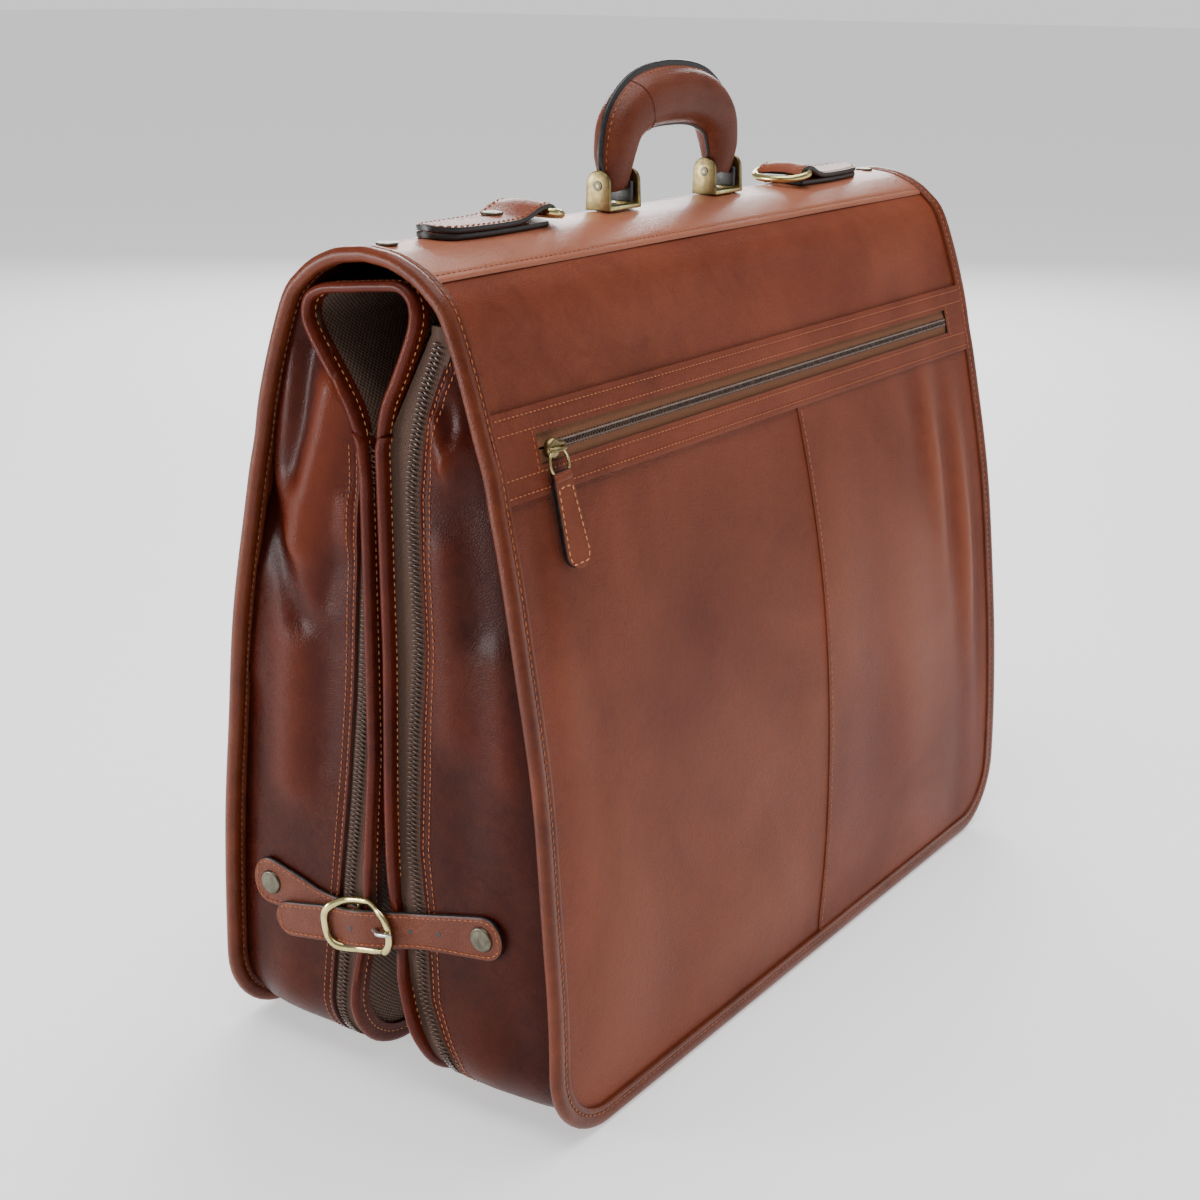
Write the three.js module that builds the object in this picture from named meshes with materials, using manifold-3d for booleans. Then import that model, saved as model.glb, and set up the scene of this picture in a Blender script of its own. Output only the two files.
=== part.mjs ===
// A folded leather garment bag: two zipped halves that hinge on a stiffened spine, a carry handle on the
// spine, two rings for a shoulder strap, a zipped pocket on the front and a buckled strap at each end.
// Millimetres, +Z up. +X runs along the bag, -Y is the front, and the origin is on the floor at the middle.
import * as THREE from "three";
import { mergeVertices } from "three/addons/utils/BufferGeometryUtils.js";
import Module from "manifold-3d";

const wasm = await Module();
wasm.setup();

// ---------------------------------------------------------------- driving dimensions
const LENGTH = 580; // end to end over the edge bindings
const HEIGHT = 490; // floor to the crown of the spine
const CORNER_R = 56; // bottom corners, seen from the front
const SPINE_HALF = 43.5; // half width of the spine
const SPINE_SAG = 15; // how far the spine's long edges lie below its crown
const GAP = 0.3; // between pieces that touch

const BINDING_W = 12; // folded edge binding, across its face
const BINDING_T = 7; // folded edge binding, through its thickness
const LEATHER = 2.5;
const WALL_INSET = 6; // the end walls lie this far inside the bindings
const WALL_T = 3;
const ZIP_FROM = 3.8; // from the inner edge of a half to the near edge of its zip
const ZIP_TO = 23.7; // and to the far edge

const POCKET = { top: 411, bottom: 365, slotTop: 396, slotBottom: 380, slotHalf: 243, zipZ: 388 };
const SEAM_X = 20; // upright seam in the front panel
const HINGE = { y: 45.5, z: 473 }; // where each half folds on the spine

const HANDLE = { x: 60, pinZ: 505, topZ: 555.5, radius: 13.5, core: 3 };
const BRACKET = { outer: 34.5, inner: 28.5, depth: 18, base: 3, earR: 9, pinR: 2.1 };
const RING = { x: 150, z: 497.5, wire: 5, half: 22, reach: 22, drop: 11 };
const TAB = { outer: 236, half: 19, thick: 4 };
const STRAP = { width: 23, thick: 2.5, front: [-72, 119], tail: [69, 90], rear: [87, 108], buckleY: 15 };
const BUCKLE = { halfLength: 27, halfWidth: 17.5, corner: 13, wire: 4.5, thick: 3, barOut: 3, barR: 1.3 };
const SLIDER = { z: 372, front: -21.5, rear: 14 }; // parked main zip sliders

// Outline of a half in section, from the spine's edge down to the floor, as distances from the middle plane.
const SHOULDER = [[47.5, 471], [60, 453], [84, 375], [109, 245], [123, 105], [126, 0]];
// The inner face of each half, from the floor up. The rear half stands a little open at its foot.
const INNER = {
  front: [[27, 0], [24, 35], [13, 76], [8, 125], [8, 187], [10, 270], [9, 348], [8, 388], [41, 450]],
  rear: [[26, 0], [23, 50], [18, 85], [9, 145], [2, 209], [-1, 275], [-1, 325], [2, 369], [5, 388], [42, 450]],
};

// ---------------------------------------------------------------- finishes
const finish = (color, roughness, metalness) => ({ color, roughness, metalness });
const COGNAC = finish("#7a3420", 0.35, 0);
const TAN = finish("#8a3f22", 0.4, 0);
const DARK_EDGE = finish("#1d1a18", 0.5, 0);
const CANVAS = finish("#4a3a30", 0.9, 0);
const ZIP_TAPE = finish("#5a4334", 0.85, 0);
const BRASS = finish("#b09a55", 0.3, 1);
const OLD_BRASS = finish("#6e6750", 0.35, 1);
const BOARD = finish("#3a332c", 0.8, 0);

const bag = new THREE.Group();

// ---------------------------------------------------------------- helpers
function solidFrom(geometry) {
  const plain = geometry.index ? geometry.toNonIndexed() : geometry.clone();
  plain.deleteAttribute("normal");
  plain.deleteAttribute("uv");
  const merged = mergeVertices(plain, 1e-3);
  return new wasm.Manifold(
    new wasm.Mesh({
      numProp: 3,
      vertProperties: merged.attributes.position.array,
      triVerts: new Uint32Array(merged.index.array),
    }),
  );
}

function geometryFrom(solid) {
  const mesh = solid.getMesh();
  const geometry = new THREE.BufferGeometry();
  geometry.setAttribute("position", new THREE.BufferAttribute(new Float32Array(mesh.vertProperties), 3));
  geometry.setIndex(new THREE.BufferAttribute(new Uint32Array(mesh.triVerts), 1));
  geometry.computeVertexNormals();
  return geometry;
}

function mirrored(geometry) {
  const flipped = geometry.clone();
  const position = flipped.attributes.position;
  for (let i = 0; i < position.count; i++) position.setX(i, -position.getX(i));
  const index = flipped.index.array;
  for (let i = 0; i < index.length; i += 3) [index[i], index[i + 1]] = [index[i + 1], index[i]];
  flipped.computeVertexNormals();
  return flipped;
}

function add(name, shape, look) {
  const geometry = shape.isBufferGeometry ? shape : geometryFrom(shape);
  const mesh = new THREE.Mesh(geometry, new THREE.MeshStandardMaterial(look));
  mesh.name = name;
  bag.add(mesh);
  return mesh;
}

// A pair of pieces, one at each end of the bag. The shape is drawn for the left end.
function addPair(name, shape, look) {
  const geometry = geometryFrom(shape);
  add(name + "_left", geometry, look);
  add(name + "_right", mirrored(geometry), look);
}

const shapeOf = (points) => new THREE.Shape(points.map(([a, b]) => new THREE.Vector2(a, b)));

function extrude(shape, depth, basis, origin, options = {}) {
  const geometry = new THREE.ExtrudeGeometry(shape, { depth, bevelEnabled: false, curveSegments: 5, ...options });
  const matrix = new THREE.Matrix4().makeBasis(...basis.map((v) => new THREE.Vector3(...v)));
  return solidFrom(geometry.applyMatrix4(matrix.setPosition(...origin)));
}

// Prisms of a flat outline: (y, z) along X, (x, z) along Y and (x, y) along Z.
const alongX = (shape, from, to) => extrude(shape, to - from, [[0, 1, 0], [0, 0, 1], [1, 0, 0]], [from, 0, 0]);
const alongY = (shape, from, to) => extrude(shape, to - from, [[1, 0, 0], [0, 0, 1], [0, -1, 0]], [0, to, 0]);
const alongZ = (shape, from, to) => extrude(shape, to - from, [[1, 0, 0], [0, 1, 0], [0, 0, 1]], [0, 0, from]);

function block(low, high) {
  const size = high.map((v, i) => v - low[i]);
  const geometry = new THREE.BoxGeometry(...size);
  return solidFrom(geometry.translate(...high.map((v, i) => (v + low[i]) / 2)));
}

// A round bar through a point, along "x", "y" or "z".
function bar(axis, radius, length, centre, sides = 12) {
  const geometry = new THREE.CylinderGeometry(radius, radius, length, sides);
  if (axis === "x") geometry.rotateZ(Math.PI / 2);
  if (axis === "z") geometry.rotateX(Math.PI / 2);
  return solidFrom(geometry.translate(...centre));
}

// The strip between two offsets of a curve. Positive offsets lie outside the bag.
function strip(points, outside, inside) {
  const normals = points.map((p, i) => {
    const before = points[Math.max(i - 1, 0)];
    const after = points[Math.min(i + 1, points.length - 1)];
    const length = Math.hypot(after[0] - before[0], after[1] - before[1]);
    return [-(after[1] - before[1]) / length, (after[0] - before[0]) / length];
  });
  const offset = (d) => points.map(([y, z], i) => [y + normals[i][0] * d, z + normals[i][1] * d]);
  return { outer: offset(outside), inner: offset(inside), shape: [...offset(outside), ...offset(inside).reverse()] };
}

// The bag from the front: straight ends, rounded bottom corners, open above.
function frontOutline(inset, bottom = inset) {
  const x = LENGTH / 2 - inset;
  const r = CORNER_R - inset;
  const top = HEIGHT + 40;
  const shape = new THREE.Shape();
  shape.moveTo(-x, top);
  shape.lineTo(-x, bottom + r);
  shape.absarc(-x + r, bottom + r, r, Math.PI, 1.5 * Math.PI);
  shape.lineTo(x - r, bottom);
  shape.absarc(x - r, bottom + r, r, 1.5 * Math.PI, 2 * Math.PI);
  shape.lineTo(x, top);
  return shape;
}
const WIDE = 160; // past the bag's front and back
const frontPrism = (inset, bottom) => alongY(frontOutline(inset, bottom), -WIDE, WIDE);
const frame = (inset, width, bottom = inset) =>
  frontPrism(inset, bottom).subtract(frontPrism(inset + width, bottom + width));

// ---------------------------------------------------------------- section curves
const profileCurve = new THREE.SplineCurve(SHOULDER.map(([y, z]) => new THREE.Vector2(y, z)));
const profile = profileCurve.getPoints(11).map((p) => [p.x, p.y]);
const mirrorY = (points, side) => points.map(([y, z]) => [y * side, z]);
// A layer of a half's outer face between two depths below its surface, over the bag's whole length.
const outerLayer = (side, outside, inside, from = -LENGTH, to = LENGTH) =>
  alongX(shapeOf(mirrorY(strip(profile, -outside, -inside).shape, side)), from, to);
const insideProfile = (side, depth) =>
  alongX(shapeOf(mirrorY([[-WIDE, -1], [-WIDE, 460], ...strip(profile, -depth, 0).outer, [125 - depth, -1]], side)), -LENGTH, LENGTH);
const heightSlice = (from, to, x0 = -LENGTH, x1 = LENGTH) => block([x0, -WIDE, from], [x1, WIDE, to]);

const spineRadius = (SPINE_HALF ** 2 + SPINE_SAG ** 2) / (2 * SPINE_SAG);
function spineArc(half, steps = 10) {
  const reach = Math.asin(half / spineRadius);
  return Array.from({ length: steps + 1 }, (_, i) => {
    const angle = reach * (2 * (i / steps) - 1);
    return [spineRadius * Math.sin(angle), HEIGHT - spineRadius * (1 - Math.cos(angle))];
  });
}
const spineLayer = (half, outside, inside, from, to) =>
  alongX(shapeOf(strip(spineArc(half), -outside, -inside).shape), from, to);

// ---------------------------------------------------------------- spine
const innerX = LENGTH / 2 - BINDING_W;
add("spine_cover", spineLayer(SPINE_HALF, 0, LEATHER, -innerX + GAP, innerX - GAP), COGNAC);
add("spine_board", spineLayer(33, LEATHER + GAP, LEATHER + 4, -250, 250), BOARD);
addPair("spine_binding", spineLayer(SPINE_HALF, -0.5, BINDING_T - 1, -LENGTH / 2, -innerX), TAN);

// The slack of the inner lining panel stands up inside the fold as a keyhole-shaped tunnel.
const tunnelCurve = new THREE.CatmullRomCurve3(
  [[-2.8, 392], [-17, 419], [-36, 449], [-33, 464], [-12, 469], [12, 469], [32, 464], [36, 449], [17, 419], [0.8, 392]].map(
    ([y, z]) => new THREE.Vector3(y, z, 0),
  ),
);
const tunnel = tunnelCurve.getPoints(22).map((p) => [p.x, p.y]);
add("fold_tunnel", alongX(shapeOf(strip(tunnel, 0, -1.6).shape), -innerX, innerX), CANVAS);

// Rivet caps are low domes on a short rim.
function rivet(radius, height) {
  const profilePoints = [[0, 0], [radius, 0], [radius, height * 0.4], [radius * 0.7, height * 0.85], [0, height]];
  const geometry = new THREE.LatheGeometry(profilePoints.map(([r, z]) => new THREE.Vector2(r, z)), 12);
  return solidFrom(geometry.rotateX(Math.PI / 2));
}
addPair("spine_rivet", rivet(6, 2.2).translate([-268, 0, HEIGHT + GAP]), OLD_BRASS);

// ---------------------------------------------------------------- handle
const bracketTop = HANDLE.pinZ + BRACKET.earR;
function bracketSolid() {
  const half = BRACKET.depth / 2;
  const ear = new THREE.Shape();
  ear.moveTo(-half, HEIGHT + GAP);
  ear.lineTo(half, HEIGHT + GAP);
  ear.absarc(0, HANDLE.pinZ, BRACKET.earR, 0, Math.PI);
  const x = -HANDLE.x;
  const blank = alongX(ear, x - BRACKET.outer / 2, x + BRACKET.outer / 2);
  const slot = block(
    [x - BRACKET.inner / 2, -half - 1, HEIGHT + GAP + BRACKET.base],
    [x + BRACKET.inner / 2, half + 1, bracketTop + 1],
  );
  const bore = bar("x", BRACKET.pinR + GAP, BRACKET.outer + 4, [x, 0, HANDLE.pinZ]);
  return blank.subtract(slot).subtract(bore);
}
addPair("handle_bracket", bracketSolid(), BRASS);
addPair("handle_pin", bar("x", BRACKET.pinR, BRACKET.outer + 1, [-HANDLE.x, 0, HANDLE.pinZ], 10), OLD_BRASS);

const handlePoints = [[60, 514.5], [60, 524], [53, 543], [30, 553.5], [0, 555.5]];
const handleLine = [...handlePoints.map(([x, z]) => [-x, z]), ...handlePoints.slice(0, -1).reverse()];
const handleCurve = new THREE.CatmullRomCurve3(handleLine.map(([x, z]) => new THREE.Vector3(x, 0, z)));
function tubeAlong(curve, radius, sides, steps) {
  const ring = new THREE.Shape().absarc(0, 0, radius, 0, 2 * Math.PI);
  return solidFrom(new THREE.ExtrudeGeometry(ring, { extrudePath: curve, steps, curveSegments: sides / 2 }));
}
const legEnd = (x) =>
  bar("x", 11, 25, [x, 0, HANDLE.pinZ]).add(block([x - 12.5, -11, HANDLE.pinZ], [x + 12.5, 11, 515]));
const pinBore = (x) => bar("x", BRACKET.pinR + GAP, 3 * HANDLE.radius, [x, 0, HANDLE.pinZ], 10);
const coreCurve = new THREE.CatmullRomCurve3(
  handleLine.slice(1, -1).map(([x, z]) => new THREE.Vector3(x, 0, z)),
);
const grip = tubeAlong(handleCurve, HANDLE.radius, 12, 26)
  .add(legEnd(-HANDLE.x))
  .add(legEnd(HANDLE.x))
  .subtract(tubeAlong(handleCurve, HANDLE.core + GAP, 6, 26))
  .subtract(block([-64, -3.3, 480], [-56, 3.3, 516]))
  .subtract(block([56, -3.3, 480], [64, 3.3, 516]))
  .subtract(pinBore(-HANDLE.x))
  .subtract(pinBore(HANDLE.x));
add("handle_grip", grip, COGNAC);
add("handle_core", tubeAlong(coreCurve, HANDLE.core - 0.7, 6, 22), OLD_BRASS);

// The grip's stitched edge stands up along the outside of the arch.
const archPoints = handleCurve.getPoints(22).map((p) => [p.x, p.z]).filter(([, z]) => z > bracketTop + 5);
const welt = alongY(shapeOf(strip(archPoints, HANDLE.radius + 0.6, HANDLE.radius + 3).shape), -2, 2);
add("handle_welt", welt, DARK_EDGE);

// ---------------------------------------------------------------- shoulder strap rings on the spine
const loopLength = 30;
const tongue = new THREE.Shape();
tongue.moveTo(-RING.x, -TAB.half);
tongue.lineTo(-RING.x, TAB.half);
tongue.lineTo(-TAB.outer + 30, TAB.half);
tongue.quadraticCurveTo(-TAB.outer, TAB.half - 3, -TAB.outer, 0);
tongue.quadraticCurveTo(-TAB.outer, -TAB.half + 3, -TAB.outer + 30, -TAB.half);
const tabBottom = HEIGHT + GAP;
const tab = alongZ(tongue, tabBottom, tabBottom + TAB.thick)
  .subtract(block([-RING.x - 6, -40, 480], [-RING.x + 10, -loopLength / 2, 520]))
  .subtract(block([-RING.x - 6, loopLength / 2, 480], [-RING.x + 10, 40, 520]))
  .add(bar("y", 6, loopLength, [-RING.x, 0, RING.z], 14))
  .subtract(bar("y", 3.7, loopLength + 4, [-RING.x, 0, RING.z], 12));
addPair("ring_tab", tab, TAN);
addPair("ring_tab_rivet", rivet(6, 2.2).translate([-178, 0, tabBottom + TAB.thick + GAP]), OLD_BRASS);

const bevel = { bevelEnabled: true, bevelSize: 1.4, bevelThickness: 1.4, bevelSegments: 1, bevelOffset: -1.4 };
function ringSolid() {
  const outline = (edge) => {
    const path = new THREE.Shape();
    const v = RING.half - edge;
    path.moveTo(-RING.wire / 2 + edge, -v);
    path.lineTo(6, -v);
    path.bezierCurveTo(RING.reach - edge + 3, -v, RING.reach - edge + 3, v, 6, v);
    path.lineTo(-RING.wire / 2 + edge, v);
    path.closePath();
    return path;
  };
  const shape = outline(0);
  shape.holes.push(outline(RING.wire));
  const depth = RING.wire - 2 * bevel.bevelThickness;
  const flat = extrude(shape, depth, [[1, 0, 0], [0, 1, 0], [0, 0, 1]], [0, 0, -depth / 2], { ...bevel, curveSegments: 8 });
  return flat.rotate([0, RING.drop, 0]).translate([-RING.x, 0, RING.z]);
}
addPair("strap_ring", ringSolid(), BRASS);

// ---------------------------------------------------------------- the two halves
function innerLine(name, offset) {
  return INNER[name].map(([y, z]) => [y + offset, z]);
}

// The end walls, zip and inner panel of a half, shared by the front and the rear.
function halfBody(name, side) {
  const between = (from, to) =>
    alongX(shapeOf(mirrorY([...innerLine(name, from), ...innerLine(name, to).reverse()], side)), -LENGTH, LENGTH);
  const beyond = (from) =>
    alongX(shapeOf(mirrorY([...innerLine(name, from), [WIDE, 450], [WIDE, 0]], side)), -LENGTH, LENGTH);
  const inside = insideProfile(side, BINDING_T + GAP);
  const wall = frame(WALL_INSET, WALL_T, 0);
  add(name + "_binding", frame(0, BINDING_W).intersect(outerLayer(side, 0, BINDING_T)), TAN);
  add(name + "_gusset", wall.intersect(beyond(ZIP_TO + GAP)).intersect(inside), COGNAC);
  add(name + "_zip", wall.intersect(between(ZIP_FROM, ZIP_TO)).intersect(inside).intersect(heightSlice(0, 436)), ZIP_TAPE);
  add(name + "_inner_binding", frame(WALL_INSET, 7, 1).intersect(between(-3, ZIP_FROM - GAP)), TAN);
  add(name + "_inner_panel", frontPrism(13 + GAP, 9 + GAP).intersect(between(-0.8, 1.2)), CANVAS);
}
halfBody("front", -1);
halfBody("rear", 1);

const panelOutline = frontPrism(BINDING_W + GAP);
const panelLayer = (side, from, to) => outerLayer(side, 1, 1 + LEATHER).intersect(panelOutline).intersect(heightSlice(from, to));
add("rear_panel", panelLayer(1, 0, HEIGHT), COGNAC);
add("front_yoke", panelLayer(-1, POCKET.top + GAP, HEIGHT), COGNAC);
const lower = panelLayer(-1, 0, POCKET.bottom - GAP);
add("front_panel_left", lower.intersect(block([-LENGTH, -WIDE, 0], [SEAM_X - 0.2, WIDE, HEIGHT])), COGNAC);
add("front_panel_right", lower.intersect(block([SEAM_X + 0.2, -WIDE, 0], [LENGTH, WIDE, HEIGHT])), COGNAC);

const slot = block([-POCKET.slotHalf, -WIDE, POCKET.slotBottom], [POCKET.slotHalf, 0, POCKET.slotTop]);
const bandLayer = outerLayer(-1, 0, 1 + LEATHER).intersect(panelOutline).intersect(heightSlice(POCKET.bottom, POCKET.top));
add("pocket_band", bandLayer.subtract(slot), TAN);
const tape = outerLayer(-1, 4, 5.2, -252, 252).intersect(heightSlice(372, 404));
const coil = outerLayer(-1, 1.6, 4.4, -POCKET.slotHalf + 1, POCKET.slotHalf - 1).intersect(
  heightSlice(POCKET.zipZ - 3, POCKET.zipZ + 3),
);
add("pocket_zip", tape.add(coil), ZIP_TAPE);
add("pocket_lining", outerLayer(-1, 5.6, 6.8).intersect(panelOutline).intersect(heightSlice(0, 440)), CANVAS);

// ---------------------------------------------------------------- pocket slider, its ring and leather pull
function profileY(z) {
  const i = profile.findIndex((p) => p[1] <= z);
  const [a, b] = [profile[i - 1], profile[i]];
  return a[0] + ((b[0] - a[0]) * (z - a[1])) / (b[1] - a[1]);
}
const face = -profileY(POCKET.zipZ);
const slider = { x: -236, y: face, z: POCKET.zipZ };
const sliderBody = block([-6, -3.2, -5.5], [6, 0.9, 5.5]);
const bail = block([-2, -8, -4.5], [2, -3, 4.5]).subtract(block([-3, -6.2, -2.8], [3, -3.1, 2.8]));
add("pocket_slider", sliderBody.add(bail).translate([slider.x, slider.y, slider.z]), BRASS);

// A ring hangs through the bail, leaning out with the panel, and carries the leather pull.
const pullRing = { radius: 8, wire: 1.1, lean: 14 };
const bailPoint = [slider.x, slider.y - 4.65, slider.z];
const torus = new THREE.TorusGeometry(pullRing.radius, pullRing.wire, 6, 18).translate(0, -pullRing.radius, 0);
add("pocket_pull_ring", solidFrom(torus).rotate([90 - pullRing.lean, 0, 0]).translate(bailPoint), BRASS);

const pull = { width: 17, length: 57, thick: 3.2, neck: 3.5, lean: 9 };
const pullShape = new THREE.Shape();
pullShape.moveTo(-pull.neck, 1);
pullShape.lineTo(-pull.neck, -6);
pullShape.lineTo(-pull.width / 2, -13);
pullShape.lineTo(-pull.width / 2, -pull.length + pull.width / 2);
pullShape.absarc(0, -pull.length + pull.width / 2, pull.width / 2, Math.PI, 2 * Math.PI);
pullShape.lineTo(pull.width / 2, -13);
pullShape.lineTo(pull.neck, -6);
pullShape.lineTo(pull.neck, 1);
const leanAngle = (pullRing.lean * Math.PI) / 180;
const pullPivot = [
  bailPoint[0],
  bailPoint[1] - 2 * pullRing.radius * Math.sin(leanAngle),
  bailPoint[2] - 2 * pullRing.radius * Math.cos(leanAngle),
];
const pullSolid = alongY(pullShape, -pull.thick / 2 - 1, pull.thick / 2 - 1)
  .add(bar("x", 3.6, 2 * pull.neck, [0, 0, 0.4], 14))
  .subtract(bar("x", 2.4, 20, [0, 0, 0.4], 12));
add("pocket_pull_tab", pullSolid.rotate([-pull.lean, 0, 0]).translate(pullPivot), TAN);

// ---------------------------------------------------------------- main zip sliders on the right-hand end
const wallX = LENGTH / 2 - WALL_INSET;
function endSlider(name, y) {
  const body = block([wallX + GAP, y - 5, SLIDER.z - 7], [wallX + 3.4, y + 5, SLIDER.z + 7]);
  const arch = block([wallX + 3.2, y - 1.6, SLIDER.z - 5], [wallX + 8, y + 1.6, SLIDER.z + 5]).subtract(
    block([wallX + 3.5, y - 3, SLIDER.z - 3.2], [wallX + 6.4, y + 3, SLIDER.z + 3.2]),
  );
  add(name + "_zip_slider", body.add(arch), OLD_BRASS);
  const plate = new THREE.Shape();
  plate.moveTo(-3.5, 2.4);
  plate.lineTo(3.5, 2.4);
  plate.lineTo(4.2, -24);
  plate.lineTo(-4.2, -24);
  const eye = block([-5, -2.3, -6.4], [5, 2.3, 0.8]);
  const flat = alongX(plate, -0.7, 0.7).subtract(eye);
  add(name + "_zip_pull", flat.translate([wallX + 5, y, SLIDER.z]), OLD_BRASS);
}
endSlider("front", SLIDER.front);
endSlider("rear", SLIDER.rear);

// ---------------------------------------------------------------- buckled straps at the two ends
// Drawn flat at the left-hand end: s runs along the strap to the rear, w across it, o out from the wall.
const strapSlope = Math.atan2(STRAP.tail[1] - STRAP.front[1], STRAP.tail[0] - STRAP.front[0]);
const buckleShare = (STRAP.buckleY - STRAP.front[0]) / (STRAP.tail[0] - STRAP.front[0]);
const buckleZ = STRAP.front[1] + buckleShare * (STRAP.tail[1] - STRAP.front[1]);
const strapLength = Math.hypot(STRAP.tail[0] - STRAP.front[0], STRAP.tail[1] - STRAP.front[1]);
const sFront = -buckleShare * strapLength; // front rivet
const sTail = (1 - buckleShare) * strapLength; // free end
const onWall = (solid, slope = strapSlope) =>
  solid.rotate([(slope * 180) / Math.PI, 0, 0]).translate([-wallX, STRAP.buckleY, buckleZ]);
// A band drawn in (s, o) and extruded across the strap; o grows outwards, which is -X here.
const across = (points, half) => extrude(shapeOf(points), 2 * half, [[0, 1, 0], [-1, 0, 0], [0, 0, 1]], [0, 0, -half]);
// A plate drawn in (s, w) and extruded outwards from the wall.
const outwards = (shape, from, to) => extrude(shape, to - from, [[0, 1, 0], [0, 0, 1], [1, 0, 0]], [-to, 0, 0], { curveSegments: 8 });

function roundEnds(from, to, half) {
  const shape = new THREE.Shape();
  shape.moveTo(from + half, -half);
  shape.lineTo(to - half, -half);
  shape.absarc(to - half, 0, half, -Math.PI / 2, Math.PI / 2);
  shape.lineTo(from + half, half);
  shape.absarc(from + half, 0, half, Math.PI / 2, 1.5 * Math.PI);
  return shape;
}

// Front strap: from its rivet it climbs under the buckle's near end, over the bar and under the far end.
const halfStrap = STRAP.width / 2;
const billetLine = [[sFront - 14, 1.7], [sFront + 30, 1.9], [-38, 2.6], [-26, 4.9], [-17, 5.6], [-5, 7.7], [5, 7.7], [17, 5.6], [26, 5.2], [sTail + 1, 5.2]];
const billetPath = new THREE.SplineCurve(billetLine.map(([s, o]) => new THREE.Vector2(s, o)));
const billetBand = strip(billetPath.getPoints(18).map((p) => [p.x, p.y]), STRAP.thick / 2, -STRAP.thick / 2);
const punched = (s) => bar("x", 1.5, 40, [0, s, 0], 8);
const billet = across(billetBand.shape, halfStrap)
  .intersect(outwards(roundEnds(sFront - 13, sTail, halfStrap), -2, 20))
  .subtract(block([-40, -24, -2.4], [10, -8, 2.4]))
  .subtract(punched(6))
  .subtract(punched(-44));
addPair("front_strap", onWall(billet), TAN);

// Rear strap: a flat tongue whose end wraps the buckle's bar, slotted for the prong.
const rearAngle = Math.atan2(STRAP.rear[1] - buckleZ, STRAP.rear[0] - STRAP.buckleY);
const rearLength = Math.hypot(STRAP.rear[1] - buckleZ, STRAP.rear[0] - STRAP.buckleY);
const rearTongue = outwards(roundEnds(-2, rearLength + 13, halfStrap), GAP, GAP + STRAP.thick).rotate([
  ((rearAngle - strapSlope) * 180) / Math.PI, 0, 0,
]);
const barLoop = bar("z", 2.8, STRAP.width, [-BUCKLE.barOut - 0.15, 0, 0], 12);
const clearOfLoop = block([-20, -60, -40], [20, 1, 40]);
const rearStrap = rearTongue
  .subtract(clearOfLoop)
  .add(barLoop)
  .subtract(bar("z", BUCKLE.barR + 0.4, 60, [-BUCKLE.barOut, 0, 0], 10))
  .subtract(block([-20, -10, -2.6], [20, 4.6, 2.6]))
  .subtract(block([-20, 0, 10.8], [20, 18, 30]))
  .subtract(block([-20, 0, -30], [20, 18, -10.8]));
addPair("rear_strap", onWall(rearStrap), TAN);

// Buckle: an oval wire, bowed so that both ends clear the strap that passes under them, and its bar.
function roundedOblong(inset) {
  const [l, w, r] = [BUCKLE.halfLength - inset, BUCKLE.halfWidth - inset, BUCKLE.corner - inset];
  const shape = new THREE.Shape();
  shape.absarc(l - r, w - r, r, 0, Math.PI / 2);
  shape.absarc(r - l, w - r, r, Math.PI / 2, Math.PI);
  shape.absarc(r - l, r - w, r, Math.PI, 1.5 * Math.PI);
  shape.absarc(l - r, r - w, r, 1.5 * Math.PI, 2 * Math.PI);
  return shape;
}
const oval = roundedOblong(0);
oval.holes.push(roundedOblong(BUCKLE.wire));
const bowRise = [[0, 3.2], [8, 3.6], [14, 6], [19, 8.8], [23, 9.4], [28, 9.4]];
const bowLine = [...bowRise.slice(1).reverse().map(([s, o]) => [-s, o]), ...bowRise];
const bowBand = strip(bowLine, BUCKLE.thick / 2, -BUCKLE.thick / 2);
const bowed = across(bowBand.shape, BUCKLE.halfWidth + 2).intersect(outwards(oval, -2, 20));
const buckleBar = bar("z", BUCKLE.barR, 2 * BUCKLE.halfWidth - 4, [-BUCKLE.barOut, 0, 0], 10);
addPair("buckle_frame", onWall(bowed.add(buckleBar)), BRASS);

// Prong: an eye round the bar and a tongue that rises through the strap and rests on the buckle's end.
const prongLine = [[-1.5, 3.6], [-8, 4.4], [-15, 8.6], [-20, 12.1], [-31, 12.4]];
const prongBand = strip(prongLine, 1, -1);
const prong = across(prongBand.shape, 1.7)
  .add(bar("z", 2.6, 3.4, [-BUCKLE.barOut - 0.2, 0, 0], 12))
  .subtract(bar("z", BUCKLE.barR + 0.35, 8, [-BUCKLE.barOut, 0, 0], 10));
addPair("buckle_prong", onWall(prong), OLD_BRASS);

// Rivets that hold the straps' fixed ends to the end walls.
const wallRivet = rivet(7.5, 2.4).rotate([0, -90, 0]);
addPair("front_strap_rivet", wallRivet.translate([-wallX - 3.6, ...STRAP.front]), OLD_BRASS);
addPair("rear_strap_rivet", wallRivet.translate([-wallX - GAP - STRAP.thick - GAP, ...STRAP.rear]), OLD_BRASS);

// ---------------------------------------------------------------- inside the rear half
add("hanger_clamp", block([-22, 104, 8], [22, 111, 34]).subtract(block([-4, 100, 14], [4, 120, 40])), OLD_BRASS);
add("garment_strap", outerLayer(1, 7.5, 9, -262, 262).intersect(heightSlice(196, 226)), CANVAS);

export default bag;
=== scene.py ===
# %% [markdown]
# A leather garment bag, folded shut and standing on its foot.
# The real bag is two zipped halves hanging from a stiff spine. Each half is a flat cover and a wall that runs
# round three of its sides, sewn together with a rolled edge. Everything here is worked out in millimetres, because
# that is how a bag maker measures, and is turned into metres once, when a piece is finished.
# %% Load the fixed frame
import math
import bmesh
import bpy
import numpy as np
from mathutils import Matrix, Vector


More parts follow.
